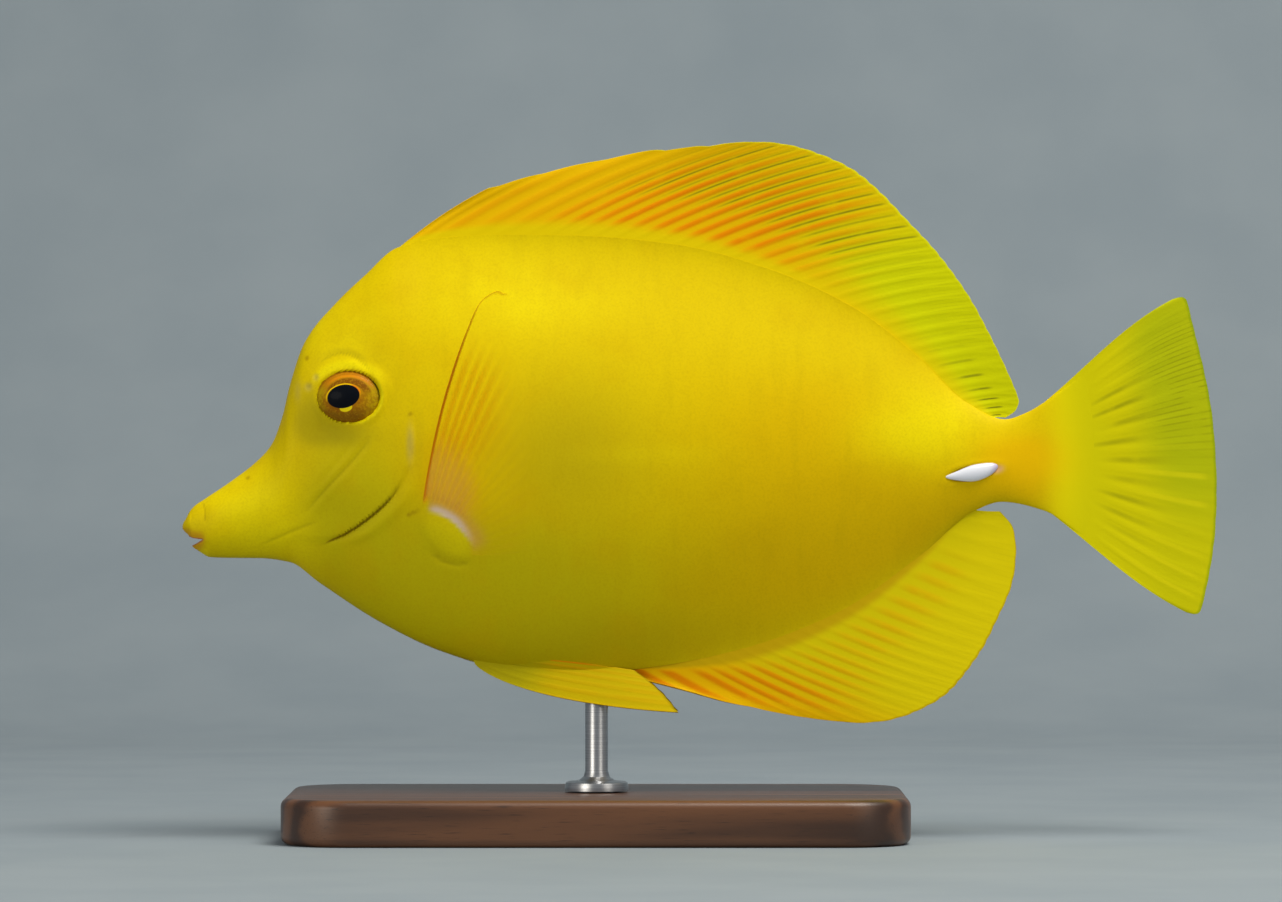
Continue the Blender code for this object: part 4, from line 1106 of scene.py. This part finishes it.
def skin_material():
    """Living fish skin: tiny rough scales in close upright rows, satin where they are wet."""
    made, tree, shader, where = new_material("fish skin, yellow", **SKIN_SHINE)
    gill, slit, creases, lip_crease = painted(tree, "lines")
    olive, orange, painted_light_and_pale_band, shade = painted(tree, "tints")
    lips, inside, brown, grey = painted(tree, "marks")
    level, hinge, tail, arc = painted(tree, "zones")
    haze, amber, fading = painted(tree, "haze")[:3]
    tone = layered(
        tree, YELLOW,
        # Painted shade: the belly a little darker and greener.
        ("#d6c004", 1, (level, 0.35, 0.1)),
        ("#e2b800", 0.8, orange),
        # Greenish cheeks, and painted shade on the lower front of the body.
        ("#c0b408", 0.8, olive),
        # Painted shade under the eye, on the belly, on the flank and along the back under the dorsal fin.
        ("#9a8c10", 0.6, shade),
        # Painted highlights and painted light, with a real pale band at mid-height.
        ("#f8e608", 0.8, painted_light_and_pale_band),
        # Soft clouds, about 9 mm across, in the depth of the yellow.
        ("#d0a800", 0.25, (blotches(tree, where, 9, detail=3.0), 0.45, 0.75)),
        # Faint upright bars, about 3 mm apart, along the flank.
        ("#c2a602", 0.14, (blotches(tree, where, 3, 9, 14), 0.5, 0.75)),
        # Pigment specks, about 0.4 mm across.
        ("#a88400", 0.16, (blotches(tree, where, 0.4), 0.35, 0.8)),
        (TAIL_YELLOW, 1, tail),
        (TAIL_OLIVE, 1, fading),
        ("#f8c000", 0.6, amber),
        # Painted shade in the gill opening, dark along its lower part.
        ("#7a5208", 0.65, (gill, -0.2, 0.02), (gill, 0.4, 0.15), slit),
        # Painted shade in the creases of the cheek, the jaw and the brow, and under the pectoral's base.
        ("#7c6d08", 0.22, creases),
        ("#c9964c", 0.45, haze),
        ("#dccbd6", 0.55, arc),
        ("#8f8a68", 0.3, grey),
        ("#8a5c08", 0.5, brown),
        # Painted shade in the crease behind the upper lip.
        ("#6f5406", 0.28, lip_crease),
        ("#d8a0a8", 0.5, hinge),
        ("#c88a1c", 0.75, lips),
        ("#a5604c", 0.8, inside),
    )
    # Scales stand in upright rows 0.6 mm apart.
    dress(tree, shader, tone, blotches(tree, where, 0.6, 0.6, 1.6, detail=3.0), 0.06)
    return made


def fin_material(name, base, green, streak, line, flesh, edge, line_from=0.0, streak_width=0.8):
    """Fin membrane: horny rays in thin skin, satin, with pigment streaks along the rays.

    Streaks lie on the rays. Dark lines lie between them, from line_from of the way.
    """
    made, tree, shader, where = new_material(name, **SKIN_SHINE)
    near, share, threads = painted(tree, "rays")[:3]
    streaks, lines, foot, greenness = painted(tree, "tints")
    patches = blotches(tree, where, 5, detail=3.0)
    # Fine threads run between the rays out to the margin, four to each gap.
    fine = add(tree, "ShaderNodeMath", {0: near, 1: 0.25}, operation="PINGPONG").outputs[0]
    tone = layered(
        tree, base,
        (green, 1, greenness),
        # Pigment in patches about 5 mm long, so that no two streaks are alike.
        (streak, 1, streaks, (near, streak_width, 0.2 * streak_width), (patches, 0.05, 0.5)),
        (line, 0.9, lines, (near, line_from, 0.97), (patches, 0.1, 0.55)),
        (line, 0.6, threads, (fine, 0.14, 0.24), (patches, 0.35, 0.6)),
        (flesh, 1, foot),
        (edge, 0.6, (share, 0.98, 0.996)),
    )
    # Cross joints of the rays and wrinkles of the membrane, about 0.5 mm apart.
    dress(tree, shader, tone, blotches(tree, where, 0.5), 0.03)
    return made


def pectoral_material():
    """The pectoral's membrane, clear enough to show the flank, with amber rays."""
    made, tree, shader, where = new_material("fin membrane, clear", **SKIN_SHINE)
    near = painted(tree, "rays")[0]
    streaks, leading, haze = painted(tree, "tints")[:3]
    tone = layered(tree, "#ffac00", ("#e8a458", 0.8, haze), ("#dc8208", 1, (leading, 0.1, 0.7)))
    dress(tree, shader, tone, blotches(tree, where, 0.5), 0.02)
    # The membrane is solid only along its rays, at its foot and at its leading edge.
    solid = 0.0
    for share in (
        (0.27, streaks, (near, 1.15, 0.1)),
        (0.26, haze, (near, 2.2, 0.1)),
        (0.7, leading),
    ):
        inputs = {0: solid, 1: share_of(tree, *share)}
        solid = add(tree, "ShaderNodeMath", inputs, operation="ADD", use_clamp=True).outputs[0]
    tree.links.new(solid, shader.inputs["Alpha"])
    return made


def eye_material():
    """A wet fish eye: black pupil with a thin gold rim in a golden-brown iris."""
    made, tree, shader, where = new_material("fish eye, golden brown", Roughness=0.45, IOR=1.38,
                                             Specular_IOR_Level=DULL, Coat_Weight=0.03, Coat_Roughness=0.1)

    def from_oval(centre, radii, tilt=0.0):
        """The distance from an oval's centre, with 1 at its edge, and the way along and up."""
        shift = (-(SNOUT + centre[0] * MM), 0, -(AXIS + centre[1] * MM))
        moved = add(tree, "ShaderNodeVectorMath", {0: where, 1: shift}, operation="ADD")
        turned = add(tree, "ShaderNodeVectorRotate", {"Vector": moved.outputs[0], "Angle": tilt},
                     rotation_type="Y_AXIS")
        size = (1 / (radii[0] * MM), 0, 1 / (radii[1] * MM))
        scaled = add(tree, "ShaderNodeVectorMath", {0: turned.outputs[0], 1: size},
                     operation="MULTIPLY").outputs[0]
        away = add(tree, "ShaderNodeVectorMath", {0: scaled}, operation="LENGTH").outputs["Value"]
        ways = add(tree, "ShaderNodeSeparateXYZ", {0: scaled}).outputs
        return away, ways["X"], ways["Z"]

    iris, along, up = from_oval(EYE_CENTRE, EYE_OPENING)
    pupil, pupil_along, pupil_up = from_oval(PUPIL_CENTRE, PUPIL_RADII, PUPIL_TILT)
    pupil_highlight = from_oval(HIGHLIGHT_CENTRE, HIGHLIGHT_RADII, PUPIL_TILT)[0]
    tone = layered(
        tree, "#b98408",
        ("#b89a04", 1, (along, 0.35, 0.85)),
        # The iris fades into the skin's yellow at its left edge, partly painted light over the shade in the
        # gap round the eyeball.
        ("#c0a406", 0.9, (along, -0.6, -0.95)),
        # Painted shade: the lower part of the iris darker, except at its right.
        ("#7d560a", 0.8, (up, -0.2, -0.75), (along, 0.7, 0.3)),
        ("#b87008", 0.85, (iris, 0.74, 0.8), (up, 0.15, 0.65)),
        ("#e8920c", 0.6, (iris, 0.76, 0.8), (iris, 0.9, 0.84), (up, 0.3, 0.8)),
        ("#7c4806", 0.9, (iris, 0.46, 0.54), (iris, 0.78, 0.7), (up, -0.05, 0.4)),
        ("#a05a06", 0.6, (pupil, 1.5, 1.1), (up, 0.3, -0.3)),
        ("#7a5008", 0.6, (iris, 0.92, 0.99), (up, 0.1, 0.5)),
        ("#3c4a08", 0.9, (iris, 0.9, 0.97), (along, 0.6, 0.85), (up, -0.3, 0.0)),
        # Fine fibres of the iris, about 0.3 mm apart.
        ("#cf9a14", 0.4, (blotches(tree, where, 0.3), 0.45, 0.75)),
        ("#8a5206", 0.45, (blotches(tree, where, 0.5), 0.6, 0.4), (up, 0.6, -0.2)),
        ("#ffcc00", 1, (pupil, 1.13, 1.05), (pupil_up, -0.3, 0.3)),
        ("#e04a10", 0.7, (pupil, 1.13, 1.05), (pupil_along, 0.5, 0.8), (pupil_up, -0.2, 0.2)),
        # Painted highlight under the pupil.
        ("#ffe212", 1, (pupil_highlight, 1.1, 0.9)),
        ("#080c14", 1, (pupil, 1.03, 0.97)),
    )
    dress(tree, shader, tone, blotches(tree, where, 0.3), 0.01)
    return made


def tail_spine_material():
    """Bare bone-like spine: smooth, bluish white, lilac at its hinge."""
    made, tree, shader, where = new_material("tail spine, bone", Roughness=0.3, IOR=1.5, Coat_Weight=0.2)
    along = add(tree, "ShaderNodeSeparateXYZ", {0: where}).outputs[0]
    hinge = SNOUT + (TAIL_SPINE_CENTRE[0] + 2.6) * MM
    tone = layered(tree, "#e8eaf4", ("#b7a2cf", 0.8, (along, hinge, hinge + 2.2 * MM)))
    dress(tree, shader, tone, blotches(tree, where, 0.8), 0.02)
    return made


def walnut_material():
    """Oiled walnut: long brown grain with darker pores, satin."""
    made, tree, shader, where = new_material("walnut, oiled", Roughness=0.4, IOR=1.5, Coat_Weight=0.15,
                                             Coat_Roughness=0.25)
    # Growth rings show as bands about 6 mm wide, along the length of the board.
    along = add(tree, "ShaderNodeMapping", {"Vector": where, "Scale": (0.12, 1.0, 1.4)}).outputs[0]
    rings = add(tree, "ShaderNodeTexWave", {"Vector": along, "Scale": 1 / (18 * MM), "Distortion": 7.0,
                                            "Detail": 3.0}, bands_direction="Y").outputs["Fac"]
    # Pores are about 0.25 mm wide and 5 mm long.
    pores = blotches(tree, where, 5, 0.25, 0.25)
    tone = layered(
        tree, "#3d2415",
        ("#6b4429", 1, rings),
        ("#2c190e", 0.5, (blotches(tree, along, 14, detail=3.0), 0.4, 0.7)),
        ("#1e110a", 0.6, (pores, 0.58, 0.75)),
    )
    dress(tree, shader, tone, pores, 0.03)
    return made


def steel_material():
    """Brushed stainless steel, turned, so that the brush marks run round the rod."""
    made, tree, shader, where = new_material("stainless steel, brushed", Metallic=1.0, Roughness=0.32)
    # Brush marks 0.15 mm apart up the rod.
    brush = blotches(tree, where, 17, 17, 0.15)
    dress(tree, shader, layered(tree, "#9a9b9e", ("#c9cacc", 1, (brush, 0.2, 0.8))), brush, 0.01)
    return made


def paper_material():
    """Studio paper: matt and blue-grey, with soft fibres."""
    made, tree, shader, where = new_material("studio paper, blue-grey", Roughness=0.9)
    # The paper's fibres clump into blotches about 40 mm across.
    fibres = blotches(tree, where, 40, detail=4.0)
    dress(tree, shader, layered(tree, "#8b979f", ("#939ea5", 1, (fibres, 0.2, 0.8))), fibres, 0.02)
    # A camera behind the wall looks through it.
    behind = add(tree, "ShaderNodeNewGeometry").outputs["Backfacing"]
    seen = add(tree, "ShaderNodeMath", {0: 1.0, 1: behind}, operation="SUBTRACT").outputs[0]
    tree.links.new(seen, shader.inputs["Alpha"])
    return made


def make_floor():
    """A paper floor that curves up into a wall behind the fish."""
    floor = new_piece(bpy.ops.mesh.primitive_plane_add, "floor", size=1, location=FLOOR_MIDDLE)
    floor.scale = FLOOR_SIZE
    bpy.ops.object.transform_apply(location=True, scale=True)
    select_edges(floor, lambda a, b: min(a.y, b.y) > 0)
    bpy.ops.mesh.extrude_region_move(TRANSFORM_OT_translate={"value": (0, 0, WALL_HEIGHT)})
    bpy.ops.object.mode_set(mode="OBJECT")
    bend = floor.modifiers.new("Bend", "BEVEL")
    bend.width = WALL_BEND
    bend.segments = 24
    apply_modifiers(floor)
    floor.data.shade_smooth()
    floor.data.materials.append(paper_material())


def soft_light(name, location, target, size, power, tint):
    """A round lamp that faces its target."""
    light = bpy.data.lights.new(name, "AREA")
    light.shape = "DISK"
    light.size = size
    light.energy = power
    light.color = colour(tint)[:3]
    lamp = bpy.data.objects.new(name, light)
    bpy.context.scene.collection.objects.link(lamp)
    lamp.location = location
    lamp.rotation_euler = (Vector(target) - Vector(location)).to_track_quat("-Z", "Y").to_euler()


def make_studio():
    """Soft light from above and from beyond both ends of the fish, and a dim pale room."""
    middle = (0, 0, AXIS)
    soft_light("overhead", (0.35, -0.3, 0.97), middle, 0.7, 11.1, "#fffaf0")
    soft_light("front", (-0.8, -0.85, 0.3), middle, 0.6, 3.3, "#fff8ea")
    soft_light("rear", (0.8, -0.85, 0.35), middle, 0.6, 1.3, "#fff8ea")
    world = bpy.data.worlds.new("room")
    world.use_nodes = True
    background = world.node_tree.nodes["Background"]
    background.inputs["Color"].default_value = colour("#e6ecf2")
    background.inputs["Strength"].default_value = 0.3
    bpy.context.scene.world = world
    bpy.context.scene.view_settings.view_transform = "Standard"


def make_camera():
    """Level with the fish, square to its left flank, with the photograph's framing."""
    middle_x = (PHOTO_SIZE[0] / 2 - PHOTO_SNOUT_X) * MM_PER_PIXEL
    middle_z = (PHOTO_AXIS_Y - PHOTO_SIZE[1] / 2) * MM_PER_PIXEL
    lens = bpy.data.cameras.new("camera")
    lens.sensor_width = SENSOR_WIDTH
    lens.lens = SENSOR_WIDTH * CAMERA_DISTANCE / (PHOTO_SIZE[0] * MM_PER_PIXEL)
    lens.clip_start = 0.05
    camera = bpy.data.objects.new("camera", lens)
    bpy.context.scene.collection.objects.link(camera)
    camera.location = Vector(place(middle_x, -CAMERA_DISTANCE, middle_z))
    camera.rotation_euler = (math.pi / 2, 0, 0)
    bpy.context.scene.camera = camera


def build():
    hand_over(make_skin(), skin_material(), "skin", "head", "trunk", "tail_root")
    dorsal = fin_material("dorsal fin membrane", base="#e9b800", green="#d2d404", streak="#ea8600",
                          line="#6c6c12", flesh=YELLOW, edge="#f2ee18", line_from=0.72)
    anal = fin_material("anal fin membrane", base="#f8c202", green="#e4d208", streak="#ee8e00",
                        line="#94800c", flesh="#d4b00a", edge="#b08c0a")
    tail = fin_material("tail fin membrane", base=TAIL_OLIVE, green="#b8be0c", streak="#f4e414",
                        line="#8a8a0c", flesh=TAIL_YELLOW, edge="#8aa010", line_from=0.5,
                        streak_width=0.35)
    hand_over(make_dorsal(), dorsal, "fins", "dorsal_fin")
    hand_over(make_anal(), anal, "fins", "anal_fin")
    hand_over(make_tail(), tail, "fins", "tail_fin")
    pelvic = fin_material("pelvic fin membrane", base="#dcb604", green="#ccbe08", streak="#ec9000",
                          line="#94800c", flesh="#bcae0c", edge="#a89008")
    clear = pectoral_material()
    eye = eye_material()
    spine = tail_spine_material()
    for make, material, slot, node in (
        (make_pectoral, clear, "pectorals", "pectoral_fin"),
        (make_pelvic, pelvic, "fins", "pelvic_fin"),
        (make_eye, eye, "eyes", "eye"),
        (make_tail_spine, spine, "tail_spines", "tail_spine"),
    ):
        left = make()
        right = mirrored(left, left.name.replace("left", "right"))
        for piece, side in ((left, "_left"), (right, "_right")):
            hand_over(piece, material, slot, node + side)
            # The clear pectorals throw no shadow on the flank.
            piece.visible_shadow = material is not clear
    hand_over(make_base(), walnut_material(), "stand_wood", "stand_base")
    hand_over(make_rod(), steel_material(), "stand_steel", "stand_rod")


make_camera()
make_floor()
make_studio()
build()
